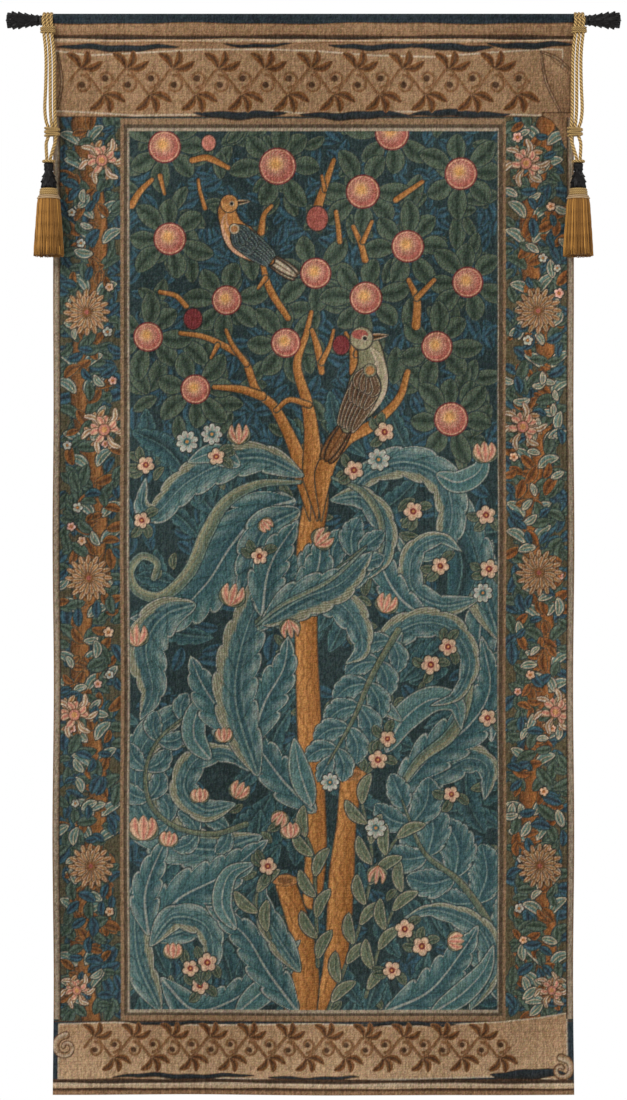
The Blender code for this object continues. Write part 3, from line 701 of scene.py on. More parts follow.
fruits = [
    (-199, -171, 20), (-48, -197, 23), (-192, -294, 20), (-116, -376, 18), (3, -340, 19), (-221, -425, 18),
    (-37, -433, 18), (105, -153, 21), (66, -231, 21), (197, -207, 20), (126, -304, 20), (206, -352, 19),
    (70, -373, 20), (-158, -495, 18), (165, -438, 19), (184, -535, 21),
]
smallFruits = [
    (-140, -166, 9, "rose"), (5, -267, 14, "brick"), (-161, -401, 12, "wine"), (37, -436, 11, "wine"),
]
branches = [  # each a route with its half widths, from the thick end
    ([(-5, -670), (-14, -613), (-26, -571), (-52, -520), (-76, -497), (-92, -457), (-114, -440),
     (-146, -425), (-178, -420)], (0.6, 11, 8, 6, 5, 4, 3)),
    ([(-69, -504), (-98, -495), (-133, -492)], (6, 5, 3)),
    ([(-90, -461), (-108, -436), (-117, -416)], (4, 2.5)), ([(-128, -436), (-137, -453)], (3.5, 2)),
    ([(5, -670), (-1, -603), (-3, -549), (-10, -508), (-22, -463), (-10, -422), (-3, -392)],
     (0.6, 14, 10, 7, 5, 3)), ([(-6, -516), (-32, -509), (-50, -523)], (4, 3)),
    ([(11, -472), (6, -442), (-2, -416)], (4, 5, 3)), ([(11, -459), (22, -436), (27, -416)], (4, 2)),
    ([(10, -670), (15, -603), (42, -563), (78, -543), (113, -509), (126, -472)], (0.6, 12, 9, 6, 4)),
    ([(54, -472), (53, -445), (43, -420)], (6, 5, 2.5)), ([(57, -449), (67, -422)], (3.5, 2.5)),
    ([(137, -410), (138, -376), (127, -349)], (6, 5, 3)), ([(138, -373), (161, -349)], (4, 3)),
    ([(69, -322), (63, -300), (53, -278)], (4.5, 3)), ([(66, -298), (78, -271)], (3.5, 2.5)),
    ([(1, -266), (11, -235), (27, -189)], (7, 5, 3)), ([(15, -229), (11, -210)], (3, 2)),
    ([(-34, -400), (-58, -362), (-69, -325)], (4, 5, 3)), ([(-64, -346), (-74, -360)], (3.5, 2)),
    ([(-162, -189), (-141, -186), (-114, -199)], (4, 4.5, 3)),
    ([(-243, -249), (-232, -231), (-216, -215)], (5, 4, 3)), ([(-205, -210), (-199, -234)], (3.5, 2)),
    ([(110, -242), (129, -229), (145, -218)], (4, 3.5, 3)),
    ([(35, -298), (33, -277), (30, -258)], (3.5, 3)),
    ([(-70, -285), (-66, -262), (-56, -250)], (5, 3.5, 2.5)),
    ([(-170, -384), (-184, -370), (-205, -365)], (3.5, 3)),
    ([(-145, -253), (-152, -229), (-154, -215)], (3, 2)),
]
trunks = [
    ([(-2, -579), (3, -643), (-6, -703), (-10, -803), (-7, -910), (-2, -1017), (3, -1110), (-2, -1177)],
     (17, 17, 15, 15, 16, 17, 15, 13)),
    ([(51, -1012), (43, -1084), (37, -1151), (33, -1224), (22, -1291), (-2, -1327)],
     (15, 13, 17, 17, 15, 12)),
    ([(-37, -1156), (-18, -1217), (-11, -1277), (-18, -1330)], (14, 15, 18, 22)),
]


def paintCrown(canvas, draw):
    # behind the tree: strewn leaves, darker lobed ones lower down, and a rosette round every fruit
    low, high = np.array([-251, -589]), np.array([249, -146])
    paintGroundLeaves(canvas, low, high, 620, 30, "backLeaf", draw)
    paintGroundLeaves(canvas, low, high, 150, 42, "orchard", draw)
    low, high = np.array([-251, -1330]), np.array([249, -583])
    paintGroundLeaves(canvas, low, high, 300, 34, "backLeaf", draw)
    for number in range(150):
        centre = draw.uniform(low, high)
        angle = np.arctan2(centre[1] + 900, centre[0]) + draw.uniform(-0.9, 0.9)
        points = petalPoints(centre, angle, 0, draw.uniform(60, 105), draw.uniform(-14, 14))
        paintLeaf(canvas, points, draw.uniform(12, 18), looks["lobedDark"], 0.5, 0.6)
    paintGroundLeaves(canvas, low, high, 120, 24, "sprig", draw)
    for number, (x, z, radius) in enumerate(fruits):
        paintRosette(canvas, (x, z), radius * 0.8, radius + 42, 7, 12.5, "orchard", 0.7 * number)


def paintTree(canvas):
    # the trunk, the boughs, then the fruits in front of them
    paintTrunk(canvas)
    for points, widths in branches:
        paintStem(canvas, points, widths, stems["branch"])
    for x, z, radius, colour in smallFruits:
        paintRing(canvas, (x, z), (radius + 1.5, radius, radius * 0.6), ("ink", colour, colour), 0.12, 1.15)
    for x, z, radius in fruits:
        paintFruit(canvas, (x, z), radius)


def paintTrunk(canvas):
    for points, widths in trunks:
        paintStem(canvas, points, widths, stems["trunk"])
    # the round tops of the two side trunks
    for centre in ((53, -1010), (-38, -1151)):
        paintRing(canvas, centre, (18.5, 17, 17 * 0.6), ("cocoa", "bark", "umber"), 0.25, 0.42)


def paintAcanthus(canvas):
    # the lower half: great scrolling leaves, from the back to the front
    frond = partial(paintFrond, canvas)
    leaf = lambda points, width, look: paintLeaf(canvas, points, width, looks[look])
    band = lambda points, widths: paintStem(canvas, points, widths, stems["scroll"])
    # right edge and top right
    frond([(209, -1324), (238, -1257), (236, -1177), (209, -1124)], 44, 4, "acanthusDark")
    leaf([(238, -966), (234, -897), (222, -830), (230, -763), (238, -696)], 24, "lobed")
    leaf([(249, -830), (222, -750), (198, -670), (177, -600)], 30, "lobedTurned")
    leaf([(185, -793), (198, -730), (177, -670), (166, -622)], 20, "acanthusDark")
    leaf([(43, -643), (73, -608), (122, -592), (169, -611), (185, -659), (169, -707), (126, -712),
          (110, -688)], 24, "lobedOver")
    leaf([(220, -776), (169, -784), (131, -760), (134, -712), (169, -694), (198, -712)], 18, "lobedTurned")
    leaf([(158, -806), (113, -771), (89, -718), (105, -659)], 20, "lobed")
    leaf([(164, -608), (193, -619), (222, -603), (228, -573)], 15, "acanthusPale")
    leaf([(22, -643), (65, -640), (94, -675), (94, -720), (70, -750)], 17, "lobedTurned")
    band([(25, -613), (65, -632), (89, -670), (89, -712), (73, -736)], (1.5, 5, 4, 2))
    # top left
    leaf([(-13, -611), (-69, -587), (-122, -595), (-172, -622), (-208, -659), (-229, -651), (-224, -613)], 25,
         "lobedOver")
    leaf([(-24, -643), (-69, -659), (-109, -703), (-144, -756), (-192, -798), (-245, -801)], 42, "lobed")
    leaf([(-98, -597), (-133, -581), (-168, -592)], 14, "acanthusPale")
    leaf([(-18, -656), (-61, -680), (-82, -723), (-98, -776)], 27, "lobedTurned")
    band([(-18, -619), (-74, -622), (-117, -646), (-144, -690), (-166, -739), (-203, -772), (-235, -764),
          (-245, -739), (-229, -718), (-209, -727), (-213, -747)], (2, 7, 9, 8, 6, 4))
    leaf([(-157, -782), (-200, -798), (-224, -838), (-216, -897), (-232, -937)], 29, "lobedOver")
    # right middle scrolls
    leaf([(110, -1033), (156, -1012), (204, -988), (233, -1001), (228, -1044)], 23, "lobedTurned")
    leaf([(105, -1044), (156, -985), (209, -943), (236, -894), (225, -825)], 30, "lobed")
    band([(113, -1030), (142, -990), (182, -958), (204, -917), (214, -857)], (4, 6, 8, 6, 3))
    leaf([(97, -980), (118, -939), (156, -910), (190, -915), (198, -950)], 19, "acanthusPale")
    leaf([(118, -939), (83, -902), (91, -843), (134, -809), (182, -814), (209, -857), (193, -902),
          (156, -918)], 21, "lobedTurned")
    leaf([(118, -819), (78, -878), (54, -934), (17, -1004)], 24, "lobed")
    frond([(113, -817), (78, -878), (54, -934), (19, -996)], 44, 6, "lobedSmall")
    # bottom right
    leaf([(249, -1311), (246, -1231), (204, -1156), (147, -1108), (113, -1038)], 44, "lobed")
    frond([(241, -1291), (241, -1224), (198, -1156), (147, -1113), (118, -1044)], 64, 6, "lobedSmall",
          sides=(0.85, 1.05))
    leaf([(209, -1324), (238, -1264), (220, -1215), (164, -1191), (121, -1201)], 18, "lobedOver")
    leaf([(95, -1327), (156, -1298), (202, -1241), (220, -1211)], 27, "lobed")
    leaf([(156, -1330), (198, -1303), (228, -1271), (241, -1237)], 15, "acanthusPale")
    leaf([(70, -1327), (86, -1284), (107, -1255)], 14, "lobedDark")
    # left column
    leaf([(-69, -1092), (-133, -1110), (-192, -1097), (-232, -1052), (-235, -990), (-203, -942),
          (-136, -905)], 33, "lobedOver")
    frond([(-90, -1076), (-133, -1089), (-181, -1081), (-216, -1052), (-224, -1004), (-203, -958),
           (-146, -914)], 36, 7, "lobedSmall")
    leaf([(-104, -1049), (-146, -1057), (-173, -1028), (-157, -990), (-117, -982), (-82, -1006)], 20,
         "lobedTurned")
    leaf([(-138, -990), (-160, -958), (-152, -921), (-117, -913)], 16, "acanthusPale")
    leaf([(-205, -1327), (-235, -1257), (-237, -1184), (-216, -1127)], 22, "lobedOver")
    leaf([(-219, -1225), (-181, -1177), (-122, -1145), (-61, -1097)], 31, "lobed")
    leaf([(-216, -1231), (-165, -1215), (-117, -1193), (-93, -1169)], 18, "lobedTurned")
    leaf([(-221, -1225), (-224, -1164), (-195, -1092)], 21, "lobed")
    leaf([(-219, -1239), (-187, -1201), (-144, -1212), (-136, -1255), (-165, -1283)], 19, "lobedOver")
    leaf([(-205, -1281), (-162, -1324), (-114, -1314), (-69, -1281), (-18, -1231)], 24, "lobed")
    leaf([(-104, -1330), (-69, -1300), (-26, -1265)], 17, "acanthusPale")
    # low down, beside the stump
    leaf([(-21, -1327), (-61, -1273), (-93, -1223), (-144, -1185)], 25, "lobed")
    leaf([(-18, -1273), (-50, -1223), (-69, -1180), (-66, -1145)], 18, "lobedTurned")
    leaf([(-104, -1217), (-122, -1183), (-112, -1143), (-77, -1127)], 13, "acanthusPale")
    # the spear
    leaf([(3, -1060), (-37, -1022), (-69, -980), (-104, -934)], 25, "lobed")
    leaf([(-2, -1052), (-18, -1006), (-26, -961)], 15, "acanthusPale")
    leaf([(-77, -980), (-122, -929), (-149, -889), (-165, -851)], 28, "lobed")
    leaf([(-85, -974), (-66, -915), (-40, -867), (-34, -825)], 27, "lobed")
    leaf([(-74, -1012), (-104, -915), (-97, -841), (-72, -766), (-58, -696)], 31, "lobedTurned")


def paintFan(canvas):
    # the leaf that wraps the trunk
    leaf = lambda points, width, look: paintLeaf(canvas, points, width, looks[look])
    leaf([(-74, -817), (-40, -782), (17, -771), (54, -801), (65, -841), (43, -862)], 27, "lobedTurned")
    paintFrond(canvas, [(-74, -806), (-29, -768), (25, -739), (70, -704)], 52, 5, "lobedSmall",
               sides=(1.0, 0.8))
    leaf([(-69, -798), (-58, -731), (-21, -670)], 26, "lobed")
    leaf([(-34, -776), (3, -742), (11, -688)], 23, "lobed")
    leaf([(-69, -809), (-18, -776), (35, -755), (78, -712)], 28, "lobedOver")
    paintStem(canvas, [(-77, -811), (-40, -782), (22, -750), (70, -707)], (1, 3, 2.4, 1), stems["scroll"])


sprigs = [  # small leafy stems by the foot of the tree
    [(6, -1265), (3, -1184), (-2, -1113), (-26, -1070)],
    [(21, -1322), (49, -1249), (67, -1192), (78, -1120), (63, -1041)],
    [(70, -1306), (94, -1221), (121, -1159)], [(78, -1151), (102, -1108), (121, -1081)],
    [(-58, -1228), (-77, -1184), (-66, -1140)],
]
flowers = [
    (-224, -596), (-130, -585), (-229, -670), (95, -552), (54, -603), (133, -658), (230, -663), (-72, -718),
    (169, -731), (234, -735), (180, -839), (157, -863), (99, -962), (184, -1036), (-61, -1132),
    (122, -1216), (145, -1239), (105, -1271), (-152, -1292), (-165, -1269), (-142, -1261), (86, -990),
    (233, -934),
]
blueFlowers = [
    (-169, -565), (-136, -555), (87, -589), (226, -767), (83, -1081), (22, -1020),
]
buds = [
    (-100, -568, -100, -541, 7), (-112, -784, -104, -755, 9), (-237, -838, -237, -809, 8),
    (94, -793, 102, -768, 8), (230, -592, 228, -565, 10), (180, -1232, 201, -1232, 8),
    (-104, -1041, -93, -1020, 8), (-120, -966, -120, -947, 8), (-227, -1097, -227, -1065, 13),
    (-188, -1255, -188, -1235, 9), (-152, -1046, -152, -1028, 10), (-195, -1105, -192, -1086, 9),
    (-30, -1094, -32, -1073, 9), (-40, -1060, -50, -1078, 6), (3, -703, 22, -686, 8),
    (-69, -670, -58, -683, 6), (-34, -803, -29, -827, 6), (86, -1132, 83, -1156, 5),
]


def paintSprigs(canvas, draw):
    # willowy stems with leaves set by turns, then every small flower
    for points in sprigs:
        route, _ = smoothRoute(points)
        paintStem(canvas, points, (2.2, 1.4), stems["vine"])
        for number in range(6, len(route) - 2, 17):
            ahead = route[number + 2] - route[number - 2]
            angle = np.arctan2(ahead[1], ahead[0]) + (0.5 if number // 17 % 2 else -0.5)
            paintLeaf(canvas, petalPoints(route[number], angle, 0, 42, 4), 7.5, looks["willow"], 0.5, 0.6)
    for x, z in flowers:
        size = draw.uniform(10.5, 13)
        for number in range(3):
            angle = draw.uniform(0, 6.28)
            paintLeaf(canvas, petalPoints((x, z), angle, 4, 26, 3), 6, looks["sprig"], 0.55, 0.6)
        paintFlower(canvas, (x, z), size, 5, "shell", "wine", draw.uniform(0, 6))
    for x, z in blueFlowers:
        paintFlower(canvas, (x, z), draw.uniform(12, 15), 8, "mist", "teal", draw.uniform(0, 6))
    for bx, bz, tx, tz, width in buds:
        paintBud(canvas, (bx, bz), (tx, tz), width * 1.25)


birds = [
    {"place": (-96, -296), "size": 84, "angle": 2.52, "mirror": -1, "bill": 0.0, "back": "bark",
     "chest": "honey", "belly": "shell", "cap": "bark", "wing": "navy", "edge": "mist", "tail": "cream",
     "roundel": "cream"},
    {"place": (73, -493), "size": 108, "angle": 1.08, "mirror": 1, "bill": 0.15, "back": "olive",
     "chest": "straw", "belly": "cream", "cap": "brick", "wing": "cocoa", "edge": "cream", "tail": "umber",
     "roundel": "olive"},
]


def paintBird(canvas, bird):
    # drawn in its own frame, breast forwards and back upwards, then turned and set in place
    cosine, sine = np.cos(bird["angle"]), np.sin(bird["angle"])
    turn = np.array([[cosine, sine], [-sine, cosine]])
    flip, size = np.array([1, bird["mirror"]]), bird["size"]
    at = lambda *points: [np.array(bird["place"]) + (np.array(p) * flip * size) @ turn for p in points]
    feather = leafLook(bird["wing"], bird["wing"], bird["edge"], bird["edge"], bird["edge"], rimWidth=1.0,
                       ribWidth=0.7, hatch=3.4, gap=1.2, shade="ink")
    plume = leafLook(bird["tail"], bird["tail"], bird["edge"], "cocoa", "cocoa", hatch=4, gap=1.4,
                     shade="ink")
    body = stemLook(bird["back"], bird["chest"], bird["back"], "cocoa", shade="ink", gap=1.6, ticks=0.35)
    belly = leafLook(bird["chest"], bird["belly"], bird["belly"], bird["belly"], bird["chest"], hatch=3.2,
                     gap=0)
    for drop in (0.10, -0.02, 0.04):
        paintLeaf(canvas, at((-0.3, 0.0), (-0.7, drop * 0.6), (-1.05, drop)), size * 0.075, plume, 0.6, 0.5)
    paintStem(canvas, at((-0.55, 0.0), (-0.2, 0.0), (0.15, 0.04), (0.42, 0.2), (0.5, 0.34)),
              [size * s for s in (0.07, 0.2, 0.24, 0.16, 0.13)], body)
    paintLeaf(canvas, at((-0.42, -0.08), (0.0, -0.13), (0.34, 0.02), (0.46, 0.22)), size * 0.1, belly)
    for count, reach, width in ((6, 0.78, 0.06), (5, 0.46, 0.055), (4, 0.28, 0.05)):
        for number in range(count):
            drop = 0.17 - 0.26 * number / (count - 1)
            tip = (0.2 - reach, drop * 0.75 - 0.02)
            paintLeaf(canvas, at((0.24, 0.12), (0.05, drop), tip), size * width, feather, 0.6, 0.5)
    shoulder = at((0.2, 0.08))[0]
    rims = "ink", bird["roundel"], "bark"
    paintRing(canvas, shoulder, [size * s for s in (0.09, 0.078, 0.055)], rims, 0.3)
    head = at((0.5, 0.36))[0]
    bill = head + size * 0.34 * np.array([np.cos(bird["bill"]), 0.12])
    horn = leafLook("cocoa", "umber", "honey", "cream", "ink", gap=1.2, hatch=9)
    paintLeaf(canvas, [head, (head + bill) / 2, bill], size * 0.045, horn, 0.3, 0.6)
    paintRing(canvas, head, [size * s for s in (0.15, 0.135)], ("ink", bird["chest"]), 0.2)
    cap = head + np.array([-0.02, 0.05]) * size
    paintRing(canvas, cap, (size * 0.1,), (bird["cap"],), 0.15, 0.6)
    eye = head + np.array([0.04, 0.0]) * size
    paintRing(canvas, eye, (size * 0.04, size * 0.026), ("cream", "ink"))


def paintPlate(canvas, edges, upper, lower, line="cocoa", lineWidth=1.3, height=0.0, grain=0.12):
    # a flat stretch between two wavy edges, shaded from its upper to its lower colour
    x0, tops, bottoms = np.array(edges, float).T
    low, high = (x0[0] - 2, bottoms.min() - 2), (x0[-1] + 2, tops.max() + 2)
    part, x, z = windowOf(canvas, low, high)
    top = np.interp(x, x0, tops)
    bottom = np.interp(x, x0, bottoms)
    inside = np.minimum(np.minimum(top - z, z - bottom), np.minimum(x - x0[0], x0[-1] - x))
    share = np.clip((top - z) / np.maximum(top - bottom, 0.1), 0, 1)
    tone = mix(yarn[upper], yarn[lower], share)
    tone = tone * (1 + grain * 0.35 * np.sin(z * 1.9 + 0.7 * np.sin(x / 31)))[..., None]
    lay(canvas, part, edge(inside + lineWidth), yarn[line])
    lay(canvas, part, edge(inside), tone, height)


def paintSliver(canvas, start, finish, z, thick):
    # a dark gap between two folds of the banner: pointed at both ends and a little crooked
    across = np.linspace(start, finish, 24)
    share = (across - start) / (finish - start)
    half = thick / 2 * np.sin(np.pi * share) ** 0.6
    middle = z + 1.6 * np.sin(across / 19 + z) + 0.8 * np.sin(across / 7)
    paintPlate(canvas, list(zip(across, middle + half, middle - half)), "navy", "ink", "cocoa", 0.8)


frames = (((-258, -1340), (257, -133), "tan"), ((-254, -1332), (253, -141), "soil"),
          ((-249, -1328), (248, -146), "cream"), ((-246, -1324), (246, -150), "ground"))


def paintFrame(canvas):
    # two cords of colour round the picture, one inside the other
    for low, high, colour in frames:
        part, x, z = windowOf(canvas, low, high)
        inside = np.minimum(np.minimum(x - low[0], high[0] - x), np.minimum(z - low[1], high[1] - z))
        lay(canvas, part, edge(inside), yarn[colour] * (0.84 if colour in ("tan", "cream") else 1), 0.15)


borderFlowers = [
    ("peony", -283, -189, 29), ("burst", -303, -392, 31), ("peony", -280, -549, 29),
    ("burst", -300, -747, 31), ("peony", -320, -930, 28), ("burst", -297, -1132, 30),
    ("peony", -317, -1298, 22), ("peony", 284, -193, 29), ("burst", 300, -390, 31),
    ("peony", 280, -545, 29), ("burst", 301, -740, 31), ("peony", 324, -926, 28), ("burst", 302, -1132, 30),
    ("peony", 319, -1298, 22),
]


borderLeaves = {  # in order of painting: inset from the edges, count, size and look
    "behind": ((8, 360, 27, "borderBlue"), (8, 260, 24, "borderGreen")),
    "left": ((14, 130, 24, "borderBrown"), (8, 80, 25, "borderGreen"), (8, 34, 21, "borderPale"),
             (8, 70, 22, "borderBlue")),
    "right": ((14, 130, 24, "borderBrown"), (8, 80, 25, "borderGreen"), (8, 70, 21, "borderPale"),
              (8, 70, 22, "borderBlue")),
}


def strewBorder(canvas, low, high, row, draw):
    inset, count, size, look = row
    paintGroundLeaves(canvas, low + (inset, 6), high - (inset, 6), count, size, look, draw)


def paintBorders(canvas, draw):
    # a winding leafy stem up each side, mirrored, with a large flower at every bend
    for mirror in (-1, 1):
        inner, outer = sorted((mirror * 257, mirror * 340))
        low, high = np.array([inner, -1338]), np.array([outer, -132])
        part, x, z = windowOf(canvas, low - 2, high + 2)
        lay(canvas, part, np.ones(x.shape), mix(yarn["umber"] * 0.7, yarn["moss"], 0.55))
        for row in borderLeaves["behind"]:
            strewBorder(canvas, low, high, row, draw)
        z = np.arange(-1340, -120, 30.0)
        middle = mirror * (300 + 13 * np.sin(2 * np.pi * (z + 200) / 375))
        points = np.stack([middle, z], 1)
        paintStem(canvas, points, (13, 12, 13, 12, 13, 12, 13), stems["borderStem"])
        route, _ = smoothRoute(points)
        for number in range(6, len(route) - 4, 21):
            ahead = route[number + 3] - route[number - 3]
            angle = np.arctan2(ahead[1], ahead[0])
            for side in (-1, 1):
                start = route[number] + side * 6 * np.array([-np.sin(angle), np.cos(angle)])
                out = petalPoints(start, angle + side * 0.9, 0, 30, side * -4)
                look = looks["borderPale" if number // 21 % 3 else "borderGreen"]
                paintLeaf(canvas, out, 6.5, look, 0.5, 0.6)
        for row in borderLeaves["left" if mirror < 0 else "right"]:
            strewBorder(canvas, low, high, row, draw)
        for number in range(46):
            place = draw.uniform(low + (10, 8), high - (10, 8))
            if abs(place[0] - np.interp(place[1], z, middle)) > 17:
                tone = ("shell", "mist", "rose")[number % 3]
                paintFlower(canvas, place, draw.uniform(5, 7), 5, tone, "umber", number)
    # the right border is a little paler than the left one
    canvas["colour"][windowOf(canvas, (257, -1338), (340, -132))[0]] *= (1.15, 1.11, 1.09)
    for kind, x, z, radius in borderFlowers:
        if kind == "peony":
            paintPeony(canvas, (x, z), radius, 1.57 + (0.5 if x < 0 else -0.5))
        else:
            paintBurst(canvas, (x, z), radius)


def paintVineRow(canvas, start, finish, z, height):
    # a running ornament in brown: a wave with a curl, a pointed leaf and a berry in every bend
    bends = round((finish - start) / (height * 1.02))
    x = np.linspace(start, finish, bends * 4 + 1)
    wave = z + height * 0.27 * np.sin(np.arange(len(x)) * np.pi / 2)
    paintStem(canvas, np.stack([x, wave], 1), (1.9, 2.3, 1.9), stems["ornament"])
    dark = leafLook("cocoa", "umber", "umber", "umber", "cocoa", shade="tan", gap=0.4, hatch=3, height=0.25)
    for number in range(1, len(x), 2):
        side = 1 if number % 4 == 1 else -1
        here = np.array([x[number], wave[number]])
        centre = here + (height * 0.02, -side * height * 0.34)
        curl = spiral(centre, height * 0.21, side * 1.57, -side * 0.85, 0.35)
        paintStem(canvas, curl, (2.1, 1.5), stems["ornament"])
        paintRing(canvas, centre, (height * 0.07,), ("cocoa",))
        for turn, reach in ((0.35, 0.5), (1.25, 0.42), (2.3, 0.46)):
            points = petalPoints(here, side * turn, 1, height * reach, -side * 4)
            paintLeaf(canvas, points, height * 0.085, dark, 0.55, 0.6)


def paintBand(canvas, top, bottom, waver, *look, **more):
    # a flat stretch right across the cloth, with edges that waver
    across = np.linspace(canvas["x"][0] - 3, canvas["x"][-1] + 3, 60)
    edges = [z + waver * (np.sin(across / 41 + z) + 0.6 * np.sin(across / 17 + 2 * z))
             for z in (top, bottom)]
    paintPlate(canvas, list(zip(across, *edges)), *look, **more)


def paintTop(canvas):
    # the upper hem, the banner with its folds, and its end that turns down at the right
    paintBand(canvas, 8, -130, 0, "clay", "tan", grain=0)
    paintBand(canvas, 8, -7, 0, "navy", "navy")
    paintBand(canvas, -7, -23, 0.9, "sand", "clay", "umber", 1.0, 0.5)
    paintBand(canvas, -23, -27, 0.7, "cocoa", "ink")
    paintBand(canvas, -27.5, -31.5, 0.7, "cream", "tan", "umber", 0.8, 0.2)
    for start, finish, z, thick in ((-343, -180, -38.5, 8), (20, 150, -37, 7), (130, 240, -38, 9),
                                    (-120, -30, -35, 4)):
        paintSliver(canvas, start, finish, z, thick)
    paintPlate(canvas, [(-344, -44, -122), (-300, -50, -124), (-240, -47, -128), (-150, -42, -127),
                        (-60, -42, -122), (0, -44, -126), (80, -50, -124), (160, -52, -122),
                        (240, -46, -126), (300, -42, -128), (332, -42, -124)],
               "sand", "sand", "cream", 2.2, 0.3)
    for start, finish, z, thick in ((-160, -36, -128, 10), (-18, 132, -129, 10), (128, 262, -127, 9)):
        paintSliver(canvas, start, finish, z, thick)
    paintVineRow(canvas, -326, 288, -84, 62)
    paintPlate(canvas, [(305, -46, -47), (312, -47, -86), (322, -58, -108), (332, -66, -126),
                        (342, -76, -128)],
               "tan", "clay", "cocoa", 0.9, 0.2)
    for points in ([(304, -44), (311, -84), (331, -127)], [(305, -44), (326, -53), (343, -68)],
                   [(-342, -46), (-336, -84), (-342, -120)]):
        paintStem(canvas, points, (0.6, 1.1, 0.6), stems["foldLine"])
    paintSliver(canvas, 232, 347, -35, 8)
    paintPlate(canvas, [(306, -126, -129), (318, -126, -135), (328, -126, -148), (335, -126, -170),
                        (345, -126, -180)],
               "clay", "sand", "cocoa", 1.3, 0.2)


def paintBottom(canvas):
    # the lower banner with a curl at each end, and the hem's stripes under it
    paintBand(canvas, -1340, -1440, 0, "navy", "navy", grain=0)
    paintPlate(canvas, [(-340, -1344, -1416), (-270, -1342, -1418), (-150, -1346, -1414), (0, -1343, -1417),
                        (130, -1347, -1415), (250, -1341, -1412), (300, -1336, -1414), (338, -1330, -1418)],
               "tan", "wheat", "cream", 2.0, 0.3)
    for start, finish, z, thick in ((236, 338, -1410, 13), (-268, -80, -1413, 6), (-60, 60, -1415, 5),
                                    (60, 190, -1343, 5), (-250, -120, -1342, 4)):
        paintSliver(canvas, start, finish, z, thick)
    paintVineRow(canvas, -306, 262, -1374, 50)
    for centre, turns in (((-331, -1374), 1.2), ((331, -1404), -1.1)):
        paintStem(canvas, spiral(centre, 16, 1.6, turns, 0.2), (4.5, 3, 2), stems["foldLine"])
    paintBand(canvas, -1418, -1422, 0.6, "cocoa", "ink")
    paintBand(canvas, -1422, -1430, 0.6, "cream", "wheat", height=0.2)
    paintBand(canvas, -1430, -1432, 0.6, "cocoa", "ink")
    paintBand(canvas, -1432, -1441, 0, "clay", "tan")


def paintEdges(canvas):
    # the woven stripe down each side
    for mirror in (-1, 1):
        for start, finish, colour in ((339, 349, "tan"), (341, 346, "cream"), (338.4, 339.6, "ink")):
            low, high = sorted((mirror * start, mirror * finish))
            part, x, _ = windowOf(canvas, (low - 2, -1337), (high + 2, -132))
            lay(canvas, part, edge(np.minimum(x - low, high - x)), yarn[colour] * 0.78, 0.15)


def finishCloth(canvas, draw):
    # streaks along the rows and down the warp, short dashes of uneven dye, stray dark and light stitches
    rows, columns, _ = canvas["colour"].shape
    row = draw.normal(0, 0.012, (rows, 1))
    column = draw.normal(0, 0.02, (1, columns))
    grain = draw.normal(0, 0.055, (rows, columns))
    dash = draw.normal(0, 1, (rows + 3, columns))
    dash = 0.045 * (dash[3:] + dash[2:-1] + dash[1:-2] + dash[:-3]) / 2
    tint = draw.normal(0, 0.018, (rows, columns, 3))
    wide = 0.025 * np.sin(canvas["x"][None] / 57 + 1.3 * np.sin(canvas["z"][:, None] / 83))
    uneven = (row + column + grain + dash + wide)[..., None] + tint
    canvas["colour"] = np.clip(canvas["colour"] * (1 + uneven) + 110 * np.clip(uneven, -0.1, 0.1), 0, 255)


def paintPicture():
    canvas, draw = newCanvas(), np.random.default_rng(cloth["seed"])
    paintBorders(canvas, draw)
    paintFrame(canvas)
    keep = canvas["colour"].copy(), canvas["relief"].copy()
    paintCrown(canvas, draw)
    paintTree(canvas)
    paintAcanthus(canvas)
    paintFan(canvas)
    for bird in birds:
        paintBird(canvas, bird)
    paintSprigs(canvas, draw)
    # what grew past the frame is cut off
    inside = np.zeros(canvas["relief"].shape, bool)
    inside[windowOf(canvas, (-245, -1324), (245, -150))[0]] = True
    canvas["colour"] = np.where(inside[..., None], canvas["colour"], keep[0])
    canvas["relief"] = np.where(inside, canvas["relief"], keep[1])
    paintTop(canvas)
    paintBottom(canvas)
    paintEdges(canvas)
    finishCloth(canvas, draw)
    print("picture painted")
    return canvas


# The cloth, its lining and the pockets

hang = {"tilesAcross": 2, "tilesDown": 5, "clothFront": -32.6, "clothBack": -31.0, "liningFront": -30.7,
        "liningBack": -30.1, "liningInset": 7.0, "swayBottom": 2.6, "relief": 0.55, "hemTurn": 1.2}


def clothWave(x, z):
    # slow waves that grow from nothing at the bar to a few millimetres at the lower hem, and a slight pucker
    depth = np.clip((-z - 330) / 1100, 0, 1) ** 1.4
    waves = np.sin(x / 95 + 0.6) + 0.6 * np.sin(x / 47 + z / 310) + 0.4 * np.sin(z / 120 + x / 260)
    pucker = 0.22 * np.sin(z / 19 + 2 * np.sin(x / 77)) * np.sin(x / 23 + z / 140)
    return hang["swayBottom"] * depth * waves + pucker * np.clip((-z - 20) / 60, 0, 1)


def hemDrift(x, z):
    # the side hems aren't ruler straight: they wander in and out by less than a millimetre
    return 0.8 * np.sin(z / 63) * (x / cloth["halfWidth"]) * np.clip((-z - 330) / 300, 0, 1)


